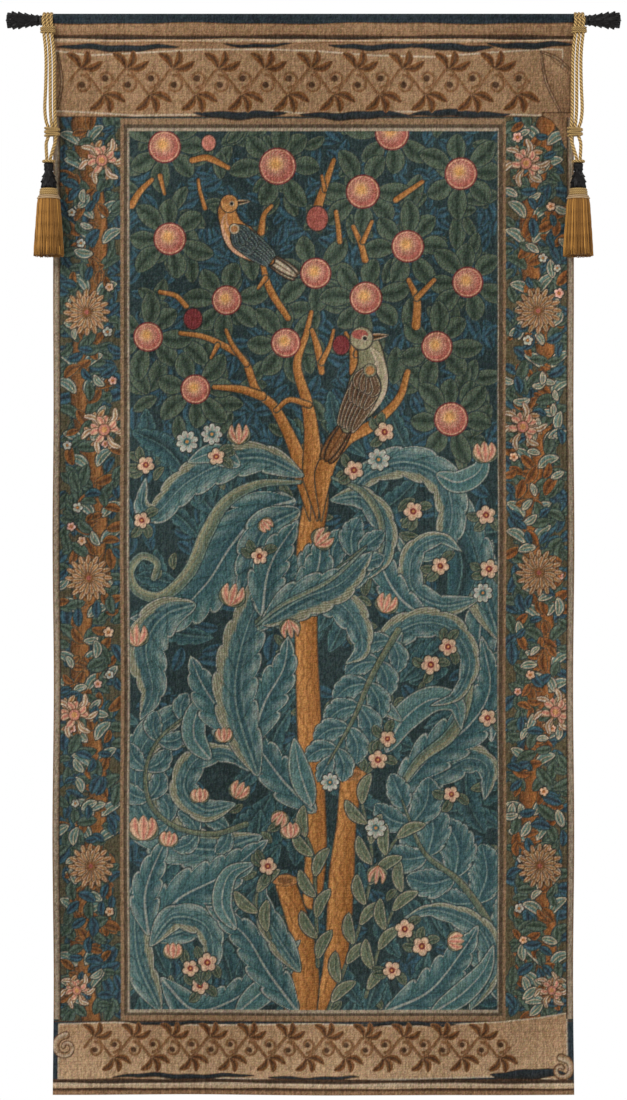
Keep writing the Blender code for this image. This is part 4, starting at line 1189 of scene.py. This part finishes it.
def makeClothFace(canvas):
    # the stitches become points: forwards by their relief, turned back at the hems, cut into tiles
    x, z = np.meshgrid(canvas["x"], canvas["z"])
    rows, columns = x.shape
    wave = clothWave(x, z)
    fromSide = np.minimum(np.arange(columns), np.arange(columns)[::-1])[None]
    fromEnd = np.minimum(np.arange(rows), np.arange(rows)[::-1])[:, None]
    fromHem = np.minimum(fromSide, fromEnd)
    turned = np.clip(1 - fromHem / 2, 0, 1) ** 2 * hang["hemTurn"]
    y = hang["clothFront"] - wave - hang["relief"] * canvas["relief"] + turned
    points = np.stack([x + hemDrift(x, z), y, z], -1) * mm
    colours = toLinear(canvas["colour"])
    downs = np.linspace(0, rows - 1, hang["tilesDown"] + 1).astype(int)
    acrosses = np.linspace(0, columns - 1, hang["tilesAcross"] + 1).astype(int)
    tiles = []
    for i in range(hang["tilesDown"]):
        for j in range(hang["tilesAcross"]):
            part = slice(downs[i], downs[i + 1] + 1), slice(acrosses[j], acrosses[j + 1] + 1)
            own = points[part]
            faces, values = [gridFaces(*own.shape[:2])[:, ::-1]], {"picture": colours[part].reshape(-1, 3)}
            name = f"wovenFace{i + 1}{'LR'[j]}"
            tiles.append(addPiece(name, own, faces, "wovenPicture", "panel", values=values))
    print("woven face made,", len(tiles), "tiles")
    return tiles


def slabPoints(x, z, front, back):
    # a thin closed slab: its front grid, its back grid, and quads that join their rims
    gx, gz = np.meshgrid(x, z)
    wave = clothWave(gx, gz)
    shift = hemDrift(gx, gz)
    grids = [np.stack([gx + shift, y - wave, gz], -1).reshape(-1, 3) * mm for y in (front, back)]
    rows, columns = gx.shape
    count = rows * columns
    place = np.arange(count).reshape(rows, columns)
    rim = np.concatenate([place[0], place[1:, -1], place[-1, -2::-1], place[-2:0:-1, 0]])
    after = np.roll(rim, -1)
    sides = np.stack([rim, after, after + count, rim + count], 1)
    faces = [gridFaces(rows, columns)[:, ::-1], gridFaces(rows, columns, first=count), sides]
    return np.concatenate(grids), faces


def makeClothBody(tiles):
    # the cloth's own thickness behind its picture, then the lining on its back
    half = cloth["halfWidth"] - 0.9
    x, z = np.linspace(-half, half, 71), np.linspace(cloth["top"] - 0.9, cloth["bottom"] + 0.9, 146)
    points, faces = slabPoints(x, z, hang["clothFront"] + 0.55, hang["clothBack"] - 0.1)
    body = addPiece("wovenBody", points, faces, "clothBack", "panel", ["woven_cloth"])
    edgeX = cloth["halfWidth"] - hang["liningInset"]
    top, bottom = cloth["top"] - 0.3, cloth["bottom"] + hang["liningInset"]
    x, z = np.linspace(-edgeX, edgeX, 61), np.linspace(top, bottom, 121)
    points, faces = slabPoints(x, z, hang["liningFront"], hang["liningBack"])
    lining = addPiece("cottonLining", points, faces, "liningCotton", "panel", ["lining"])
    print("cloth body and lining made")


seam = {"inset": 3.0, "below": 42.0, "pitch": 6.5, "length": 4.4, "width": 0.75, "proud": 0.25,
        "along": 5, "round": 6}


def makeSeam():
    # hand stitches round the lining: each a small lozenge bead laid along the hem, a little aslant
    left, top = -cloth["halfWidth"] + hang["liningInset"] + seam["inset"], cloth["top"] - seam["below"]
    bottom = cloth["bottom"] + hang["liningInset"] + seam["inset"]
    down, across = np.arange(top, bottom, -seam["pitch"]), np.arange(left, -left, seam["pitch"])
    sides = [np.stack([np.full(len(down), edgeX), down], 1) for edgeX in (left, -left)]
    centres = np.concatenate([*sides, np.stack([across, np.full(len(across), bottom)], 1)])
    along = np.array([[0.25, 1.0]] * (2 * len(down)) + [[1.0, 0.25]] * len(across))
    along /= np.linalg.norm(along, axis=1)[:, None]
    aside = np.stack([-along[:, 1], along[:, 0]], 1)
    u = np.linspace(-1, 1, seam["along"])
    v = 2 * np.pi * np.arange(seam["round"]) / seam["round"]
    width = seam["width"] / 2 * np.sqrt(1 - (0.93 * u) ** 2)
    flat = (centres[:, None, None] + along[:, None, None] * (u * seam["length"] / 2)[None, :, None, None]
            + aside[:, None, None] * (width[:, None] * np.cos(v)[None])[None, ..., None])
    lift = np.broadcast_to((width[:, None] * 0.8 * np.sin(v)[None])[None], flat.shape[:3])
    x, z = flat[..., 0], flat[..., 1]
    y = hang["liningBack"] - clothWave(x, z) + lift + seam["proud"]
    ring, size = np.arange(seam["round"]), seam["along"] * seam["round"]
    caps = np.array([ring[::-1], ring + size - seam["round"]])
    faces = [repeatFaces(gridFaces(seam["along"], seam["round"], closeColumns=True), len(centres), size),
             repeatFaces(caps, len(centres), size)]
    addPiece("liningStitches", np.stack([x, y, z], -1) * mm, faces, "seamThread", "panel")


pockets = {"drop": 27.0, "barRadius": 6.0, "barY": -22.0, "thickness": 0.7, "round": 44,
           "spans": (("leftPocket", "left_rod_pocket", -339, -263),
                     ("centrePocket", "centre_rod_pocket", -237, 237),
                     ("rightPocket", "right_rod_pocket", 263, 339))}


def makePockets():
    # a closed cross-section drawn over the bar, carried along it with small drag wrinkles
    front, over = hang["liningBack"] + 1.0, pockets["barRadius"] + 0.3
    turn = np.radians([122, 100, 78, 56, 34, 12, -10])
    section = [(front, -pockets["drop"]), (front, -18), (front, -over), (front, 0.35 * over),
               (front + 0.12 * over, 0.72 * over)]
    section += list(zip(pockets["barY"] + over * np.cos(turn), over * np.sin(turn)))
    section += [(pockets["barY"] + 0.62 * over, -0.45 * pockets["drop"]), (front + 1.6, -pockets["drop"])]
    closed = np.array(section + section[:1])
    steps = travelled(closed)
    girth = steps[-1]
    even = np.linspace(0, girth, pockets["round"], endpoint=False)
    y, z = [np.interp(even, steps, axis) for axis in closed.T]
    for name, node, start, end in pockets["spans"]:
        x = np.linspace(start, end, max(8, int((end - start) / 4)))
        below = np.clip((-z - 2) / 14, 0, 1) * np.clip((z + 26) / 8, 0, 1) * (y > front + 0.8)
        wrinkle = 0.45 * np.sin(x / 9 + 1.4 * np.sin(x / 31))[:, None] * below[None]
        gx = np.repeat(x[:, None], len(y), 1)
        points = np.stack([gx, y[None] + wrinkle, np.repeat(z[None], len(x), 0)], -1) * mm
        faces = [gridFaces(len(x), len(y), closeColumns=True)]
        tube = addPiece(name, points, faces, "liningCotton", "panel", [node])
        wall = tube.modifiers.new("cloth", "SOLIDIFY")
        wall.thickness, wall.offset, wall.use_even_offset = pockets["thickness"] * mm, 1, True
    print("rod pockets made")


# Cord: hitches, strands, bands and knots

rope = {"radius": 2.4, "lay": 14.0, "sides": 18, "step": 0.75, "hitchTurns": 3}
ends = {"hitchX": 355.6, "hitchStart": 348.4, "hitchRadius": 8.7, "barY": -22.0, "strandY": -35.8,
        "tasselX": 351.6, "tasselY": -53.6, "tasselTop": -196.0, "spacing": 5.1}
routes = {  # place among the strands, drift outwards, share of the way to the tassel's axis, height
    "outer": ((1, 0, 0, 2), (1, -0.2, 0.04, -4), (1, -1.3, 0.12, -11), (1, -1.3, 0.18, -21),
              (1, -3.5, 0.27, -40), (1, -4.5, 0.37, -60), (1, -4.3, 0.51, -90), (1, -3.3, 0.66, -122),
              (1, -5.3, 0.75, -140), (1, -8.1, 0.8, -148), (1, -8.1, 0.85, -160), (1, -5.7, 0.9, -169),
              (0.75, -4.6, 0.955, -180), (0.5, -4, 1, -189), (0.5, -4, 1, -195.7)),
    "middle": ((0, 0, 0, 2), (0, -0.2, 0.04, -4), (0, -1.3, 0.12, -11), (0, -1.3, 0.18, -21),
               (0, -3.6, 0.27, -40), (0, -4.7, 0.37, -60), (0, -5.1, 0.51, -90), (0, -5.6, 0.66, -122),
               (0, -6.9, 0.75, -140), (0, -8.1, 0.8, -148), (0, -8.1, 0.845, -158)),
    "inner": ((-1, 0, 0, 2), (-1, -0.2, 0.04, -4), (-1, -1.3, 0.12, -11), (-1, -1.3, 0.18, -21),
              (-1, -3.7, 0.27, -40), (-1, -4.9, 0.37, -60), (-1, -5.4, 0.51, -90),
              (-1, -5.9, 0.66, -122), (-1, -7.1, 0.75, -140), (-1, -8.1, 0.8, -148),
              (-1, -8.1, 0.85, -160), (-1, -6.9, 0.9, -169), (-0.75, -5.1, 0.955, -180),
              (-0.5, -4, 1, -189), (-0.5, -4, 1, -195.7)),
}


def ropeGrid(path, outwards, radius, lay, closed=False, sides=None, hand=1, strands=3):
    # a twisted cord along a path: its section has one round lobe for each strand and turns once in a lay
    sides = sides or rope["sides"]
    tangent = np.roll(path, -1, 0) - np.roll(path, 1, 0) if closed else np.gradient(path, axis=0)
    tangent /= np.linalg.norm(tangent, axis=1)[:, None]
    outwards = np.broadcast_to(outwards, path.shape)
    aside = np.cross(tangent, outwards)
    aside /= np.linalg.norm(aside, axis=1)[:, None]
    out = np.cross(aside, tangent)
    gaps = np.linalg.norm(np.diff(path, axis=0, append=path[:1] if closed else path[-1:]), axis=1)
    travel = np.concatenate([[0], np.cumsum(gaps)[:-1]])
    whole = gaps.sum()
    if closed:
        lay = whole / max(1, round(whole / lay * strands)) * strands
    phi = 2 * np.pi * np.arange(sides) / sides
    turn = hand * 2 * np.pi * travel / lay
    lobe = np.abs(np.cos(strands / 2 * (phi[None] - turn[:, None])))
    size = radius * (0.72 + 0.28 * lobe**0.75)
    if not closed:
        near = np.clip(np.minimum(travel, whole - travel) / (0.8 * radius), 0.02, 1)
        size = size * np.sqrt(near * (2 - near))[:, None]
    spokes = np.cos(phi)[None, :, None] * out[:, None] + np.sin(phi)[None, :, None] * aside[:, None]
    points = path[:, None] + size[..., None] * spokes
    follow = phi[None] / (2 * np.pi) - turn[:, None] / (2 * np.pi)
    uv = np.stack([follow, np.repeat((travel / 1000)[:, None], sides, 1)], -1)
    # the depth of the groove between the lobes goes back too; the cord's finish paints it as shade
    return points, 1 - lobe, uv


def addRopes(name, grids, closed, finish, body, stands=()):
    # the cords of one piece, one after another; an open cord has a flat cap at each end
    quads, caps, first = [], [], 0
    for grid, _, _ in grids:
        rows, columns = grid.shape[:2]
        quads.append(gridFaces(rows, columns, closeRows=closed, closeColumns=True, first=first)[:, ::-1])
        if not closed:
            ring = first + np.arange(columns)
            caps.append(np.stack([ring, (ring + (rows - 1) * columns)[::-1]]))
        first += rows * columns
    points = np.concatenate([grid.reshape(-1, 3) for grid, _, _ in grids])
    # how deep each point lies in a groove, which the finish paints as shade
    shadeAndTone = np.concatenate([deep.ravel() for _, deep, _ in grids])
    charts = np.concatenate([uv.reshape(-1, 2) for _, _, uv in grids])
    sets = [np.concatenate(quads), *caps]
    return addPiece(name, points * mm, sets, finish, body, stands, charts, {"shadeAndTone": shadeAndTone})


def strandPath(side, route):
    back = ends["tasselY"] - ends["strandY"]
    own = []
    for place, drift, share, height in route:
        x = side * (ends["hitchX"] + place * ends["spacing"] + drift)
        own.append((x, ends["strandY"] + share * back, height))
    return smoothRoute(own, rope["step"], 12, 6)


def ringPath(centre, radius, count, axis="z"):
    # a circle about the bar's line or about an upright line, and its outward directions
    angle = 2 * np.pi * np.arange(count) / count
    turn, zero = [np.cos(angle), np.sin(angle)], np.zeros(count)
    out = np.stack([*turn, zero] if axis == "z" else [zero, *turn], 1)
    return np.array(centre) + radius * out, out


def slotPath(centre, halfLength, radius, tilt, count=96):
    # a stadium round three cords side by side; tilt lifts one end of it
    angle = 2 * np.pi * np.arange(count) / count
    out = np.stack([np.cos(angle), np.sin(angle), np.zeros(count)], 1)
    x = halfLength * np.clip(np.cos(angle) * 3, -1, 1) + radius * np.cos(angle)
    path = np.stack([x, radius * np.sin(angle), tilt * np.cos(angle)], 1)
    return np.array(centre) + path, out


wraps = {  # level, drift outwards, share of the way to the tassel's axis, and the heights of the turns
    "band": {"z": -16, "offset": -1.3, "reach": 0.15, "heights": (-2.7, 0, 2.7), "inside": 2.7,
             "radius": 1.35, "lay": 8.0, "sides": 12, "tilt": 0.3},
    "knot": {"z": -154, "offset": -8.1, "reach": 0.825, "heights": (-4.2, -1.4, 1.4, 4.2), "inside": 2.7,
             "radius": 1.5, "lay": 8.0, "sides": 12, "tilt": 0.9},
}


def makeCords(end, side):
    # three turns round the bar, the band and the knot, then the strands
    rings = []
    for turn in range(rope["hitchTurns"]):
        x = side * (ends["hitchStart"] + rope["radius"] * (1 + 2 * turn))
        path, out = ringPath((x, ends["barY"], 0), ends["hitchRadius"], 84, "x")
        rings.append(ropeGrid(path, out, rope["radius"], rope["lay"], True))
    addRopes(f"{end}HitchTurns", rings, True, "goldRope", f"{end}_hitch", [f"{end}_hitch"])
    for label, node in (("band", "hitch_band"), ("knot", "knot")):
        own = wraps[label]
        y = ends["strandY"] + own["reach"] * (ends["tasselY"] - ends["strandY"])
        loops = []
        for number, height in enumerate(own["heights"]):
            centre = side * (ends["hitchX"] + own["offset"]), y, own["z"] + height
            wide, tilt = own["inside"] + own["radius"], own["tilt"] * (-1) ** number
            path, out = slotPath(centre, ends["spacing"], wide, tilt)
            loops.append(ropeGrid(path, out, own["radius"], own["lay"], True, own["sides"]))
        addRopes(f"{end}{label.title()}Wrap", loops, True, "goldRope", f"{end}_tassel", [f"{end}_{node}"])
    for strand, route in routes.items():
        path, length = strandPath(side, route)
        grid = ropeGrid(path, np.array([0.0, -1.0, 0.02]), rope["radius"], rope["lay"], False, hand=-side)
        node = f"{end}_{strand}_strand"
        piece = addRopes(f"{end}{strand.title()}Strand", [grid], False, "goldRope", f"{end}_tassel", [node])
    print(end, "cords made")


# Carved pieces: finials and tassel heads

finialShape = {  # sizes at the marks, then rows of leaves, each with a start, an end and a height
    "start": 367.5, "length": 45.0, "wide": 12.4, "slim": 1.0, "leaves": 6, "carve": 5.6, "grid": (124, 120),
    "marks": (0, 0.06, 0.12, 0.2, 0.45, 0.7, 0.86, 0.95, 1.0),
    "sizes": (0.52, 0.6, 0.48, 0.5, 0.6, 0.66, 0.6, 0.4, 0.02),
    "rows": ((0.02, 0.26, 0.55), (0.12, 0.44, 0.7), (0.3, 0.64, 0.85), (0.48, 0.82, 1.05),
             (0.64, 0.97, 1.1)),
}
headShape = {
    "tall": 33.5, "wide": 7.2, "slim": 0.86, "leaves": 6, "carve": 3.4, "grid": (110, 112),
    "marks": (0, 0.05, 0.12, 0.2, 0.28, 0.36, 0.47, 0.6, 0.76, 0.9, 1.0),
    "sizes": (0.9, 1.0, 1.0, 0.84, 0.8, 0.86, 1.0, 1.27, 1.42, 1.36, 1.2),
    "rows": ((0.04, 0.3, 0.7), (0.26, 0.56, 0.8), (0.44, 0.8, 1.0), (0.62, 1.0, 1.0)),
}


def leafRelief(s, theta, leaves, rows):
    # pointed leaves in staggered rows: each swells and closes between its row's ends, leaves the body towards
    # its tip, and has a sunk midrib and faint side veins
    relief = np.zeros(np.broadcast(s, theta).shape)
    for number, (start, finish, height) in enumerate(rows):
        share = np.clip((s - start) / (finish - start), 0, 1)
        half = 0.94 * np.where(share < 0.3, (share / 0.3) ** 0.5, ((1 - share) / 0.7) ** 0.5)
        across = np.abs(((theta * leaves / (2 * np.pi) + 0.5 * (number % 2)) % 1) - 0.5) * 2
        inside = np.clip((half - across) * 6, 0, 1) * (share > 0) * (share < 1)
        bulge = np.sqrt(np.clip(1 - (across / np.maximum(half, 0.05)) ** 2, 0, 1))
        rib = np.exp(-(across / 0.1) ** 2) * 0.35 + 0.05 * np.cos(2 * np.pi * (share * 6 - across * 1.6))
        lift = height * (0.1 + 1.1 * share**2.6)
        relief = np.maximum(relief, inside * lift * (0.55 + 0.45 * bulge - rib))
    return relief


def carvedGrid(own):
    # the share along a carved piece, the angle round it, and its radius with the leaves on
    rows, columns = own["grid"]
    s = np.linspace(0, 1, rows)[:, None]
    theta = 2 * np.pi * np.arange(columns)[None] / columns
    plain = np.interp(s, own["marks"], np.array(own["sizes"]) * own["wide"])
    return s, theta, plain * own["slim"] + own["carve"] * leafRelief(s, theta, own["leaves"], own["rows"])


def makeFinial(end, side):
    own = finialShape
    s, theta, radius = carvedGrid(own)
    x = side * (own["start"] + own["length"] * s + 0 * theta)
    points = np.stack([x, ends["barY"] + radius * np.cos(theta), radius * np.sin(theta)], -1) * mm
    reaches = own["start"], own["start"] + own["length"] + 0.4
    hubs = np.array([[side * reach, ends["barY"], 0] for reach in reaches]) * mm
    addPiece(f"{end}LeafBud", np.vstack([points.reshape(-1, 3), hubs]), turnedFaces(*own["grid"], side < 0),
             "blackResin", f"{end}_finial", [f"{end}_finial"])


def makeTasselHead(end, side):
    own = headShape
    s, theta, radius = carvedGrid(own)
    # a beaded ring near the top
    radius = radius + 0.35 * np.exp(-(((s - 0.07) / 0.03) ** 2)) * (1 + np.cos(theta * 20)) * 0.5
    centre = np.array([side * ends["tasselX"], ends["tasselY"], ends["tasselTop"]])
    x, y = centre[0] + radius * np.cos(theta), centre[1] + radius * np.sin(theta)
    points = np.stack([x, y, centre[2] - own["tall"] * s + 0 * theta], -1) * mm
    hubs = np.array([centre, centre - (0, 0, own["tall"])]) * mm
    addPiece(f"{end}TasselCrown", np.vstack([points.reshape(-1, 3), hubs]), turnedFaces(*own["grid"], True),
             "blackResin", f"{end}_tassel", [f"{end}_tassel_head"])


# Tassel skirts

skirt = {"top": -239.6, "bottom": -319.8, "neck": 10.5, "shoulder": 14.3, "hem": 19.6, "threads": 104,
         "layers": 3, "layerGap": 1.15, "threadRadius": 0.55, "uneven": 0.035, "along": 15, "round": 5,
         "bodyGap": 3.2, "bodyGrid": (40, 120), "seed": 11}
skirtRings = {  # finish, hand of the twist, its turns, and the node it stands for
    # each turn: height, radius, points round it, and the cord's own radius, lay and sides
    "SkirtBinding": ("paleThread", 1, ((-242.8, 14.6, 150, 1.15, 6, 10),
                                       (-240.2, 13.2, 140, 1.1, 6, 10)), None),
    "CollarTurns": ("goldRope", -1, ((-231.4, 10.4, 132, 1.6, 8, 12), (-234.3, 11.0, 132, 1.6, 8, 12),
                                     (-237.2, 11.0, 132, 1.6, 8, 12)), "tassel_collar"),
    "NeckRing": ("goldRope", 1, ((-193.8, 7.15, 110, 1.9, 10, 16),), "neck_ring"),
}


def skirtRadius(share):
    # from the collar out over a round shoulder, then a slow spread to the hem
    over = np.sqrt(np.clip(1 - (1 - np.clip(share / 0.09, 0, 1)) ** 2, 0, 1))
    spread = np.clip((share - 0.05) / 0.95, 0, 1) ** 0.8
    return (skirt["neck"] + (skirt["shoulder"] - skirt["neck"]) * over
            + (skirt["hem"] - skirt["shoulder"]) * spread)


def makeSkirtThreads(end, side):
    # twisted threads in three layers, each a five-sided tube that waves a little and ends unevenly
    draw = np.random.default_rng(skirt["seed"] + (side > 0))
    count, along, sides = skirt["threads"] * skirt["layers"], skirt["along"], skirt["round"]
    number = np.arange(count)
    layer = np.repeat(np.arange(skirt["layers"]), skirt["threads"])
    place = number % skirt["threads"] + 0.33 * layer + draw.uniform(-0.22, 0.22, count)
    theta = 2 * np.pi * place / skirt["threads"]
    t = np.linspace(0, 1, along)
    drop = (skirt["top"] - skirt["bottom"]) * (1 - draw.uniform(0, skirt["uneven"], count))
    z = skirt["top"] - t[None] * drop[:, None]
    sway = draw.normal(0, 0.035, (count, 1)) * t[None] ** 1.5
    sway = sway + 0.02 * np.sin(7 * t[None] + draw.uniform(0, 6, (count, 1))) * t[None]
    angle = theta[:, None] + sway
    reach = skirtRadius(t)[None] - skirt["layerGap"] * layer[:, None]
    reach = reach + 0.35 * np.sin(5 * t[None] + draw.uniform(0, 6, (count, 1))) * t[None]
    out = np.stack([np.cos(angle), np.sin(angle), 0 * angle], -1)
    aside = np.stack([-np.sin(angle), np.cos(angle), 0 * angle], -1)
    centre = np.array([side * ends["tasselX"], ends["tasselY"], 0.0])
    path = centre + out * reach[..., None] + np.stack([0 * z, 0 * z, z], -1)
    phi = 2 * np.pi * np.arange(sides) / sides
    size = skirt["threadRadius"] * (1.0 + 0.25 * np.sin(t * 60))[None, :, None, None]
    points = path[:, :, None] + size * (np.cos(phi)[None, None, :, None] * out[:, :, None]
                                        + np.sin(phi)[None, None, :, None] * aside[:, :, None] * 1.15)
    ring, total = np.arange(sides), along * sides
    caps = np.array([ring, total - 1 - ring])
    faces = [repeatFaces(gridFaces(along, sides, closeColumns=True)[:, ::-1], count, total),
             repeatFaces(caps, count, total)]
    # each thread's tone differs at random, and the inner layers are darker by painted shade, standing in for
    # the shadow of the outer layers
    tone = np.clip(draw.normal(0.36, 0.17, count) + 0.14 * layer, 0, 1)
    shadeAndTone = np.broadcast_to(tone[:, None, None], points.shape[:3])
    across = (number * 0.37 % 5)[:, None, None] + phi[None, None] / 6.3
    down = np.broadcast_to(t[None, :, None] * 0.08, points.shape[:3])
    chart = np.stack([np.broadcast_to(across, points.shape[:3]), down], -1)
    addPiece(f"{end}SkirtThreads", points * mm, faces, "goldThread", f"{end}_tassel",
             [f"{end}_tassel_skirt"], chart, {"shadeAndTone": shadeAndTone.ravel()})
    return centre


def makeSkirtShadeBody(end, centre):
    # a darker body inside the threads: painted shade that fills the gaps between them, so that nothing shows
    # through
    rows, columns = skirt["bodyGrid"]
    s, turn = np.linspace(0, 1, rows)[:, None], 2 * np.pi * np.arange(columns)[None] / columns
    inner = skirtRadius(np.minimum(s / 0.93, 1)) - skirt["bodyGap"] + 0.25 * np.cos(turn * 60)
    height = skirt["top"] - 0.5 - s * (skirt["top"] - skirt["bottom"] - 4)
    x, y = centre[0] + inner * np.cos(turn), centre[1] + inner * np.sin(turn)
    inside = np.stack([x, y, height + 0 * turn], -1)
    hubs = np.array([[centre[0], centre[1], z] for z in (height[0, 0], height[-1, 0] + 3)])
    points = np.vstack([inside.reshape(-1, 3), hubs]) * mm
    chart = np.stack([turn * 1.6 + 0 * s, s * 0.08 + 0 * turn], -1).reshape(-1, 2)
    chart = np.vstack([chart, np.zeros((2, 2))])
    # its whole surface is darkened, as painted shade
    addPiece(f"{end}SkirtShadeBody", points, turnedFaces(rows, columns, True), "goldThread", f"{end}_tassel",
             uv=chart, values={"shadeAndTone": np.full(len(points), 0.75)})


def makeSkirt(end, side):
    centre = makeSkirtThreads(end, side)
    makeSkirtShadeBody(end, centre)
    for label, (finish, hand, turns, node) in skirtRings.items():
        grids = []
        for height, radius, count, thick, lay, sides in turns:
            path, out = ringPath((centre[0], centre[1], height), radius, count)
            grids.append(ropeGrid(path, out, thick, lay, True, sides, hand))
        addRopes(f"{end}{label}", grids, True, finish, f"{end}_tassel", [f"{end}_{node}"] if node else ())
    print(end, "tassel skirt made")


# Pieces that keep their made shape, with finishes of their own

kept = {"bar": "blackIron", "wall_hook": "blackIron", "finial_ferrule": "blackIron",
        "finial_peg": "pegSteel", "tassel_core": "coreWood"}


def dressKept():
    for part, finish in kept.items():
        for node in [part] if part == "bar" else [f"left_{part}", f"right_{part}"]:
            piece = bpy.data.objects[node]
            piece.data.materials.clear()
            piece.data.materials.append(materials[finish])
    print("kept pieces dressed")


def makeFloor():
    # a pale disc well below the hem, for the tapestry to be seen over
    rows, columns = studio["floorGrid"]
    angle = 2 * np.pi * np.arange(columns) / columns
    rings = np.linspace(0.02, studio["floorRadius"], rows)[:, None]
    level = np.full((rows, columns), studio["floorZ"])
    points = np.stack([rings * np.cos(angle), rings * np.sin(angle), level], -1)
    points = np.vstack([points.reshape(-1, 3), [[0, 0, studio["floorZ"]]]])
    quads = gridFaces(rows, columns, closeColumns=True)[:, ::-1]
    middle = fanFaces(np.arange(columns), rows * columns)
    mesh = bpy.data.meshes.new("floor")
    mesh.from_pydata(points.tolist(), [], quads.tolist() + middle.tolist())
    floor = bpy.data.objects.new("floor", mesh)
    mesh.materials.append(materials["floorPaint"])
    scene.collection.objects.link(floor)


setStudio()
makeFinishes()
for end, side in (("left", -1), ("right", 1)):
    makeSkirt(end, side)
    makeCords(end, side)
    makeTasselHead(end, side)
    makeFinial(end, side)
makeClothBody(makeClothFace(paintPicture()))
makeSeam()
makePockets()
dressKept()
makeFloor()
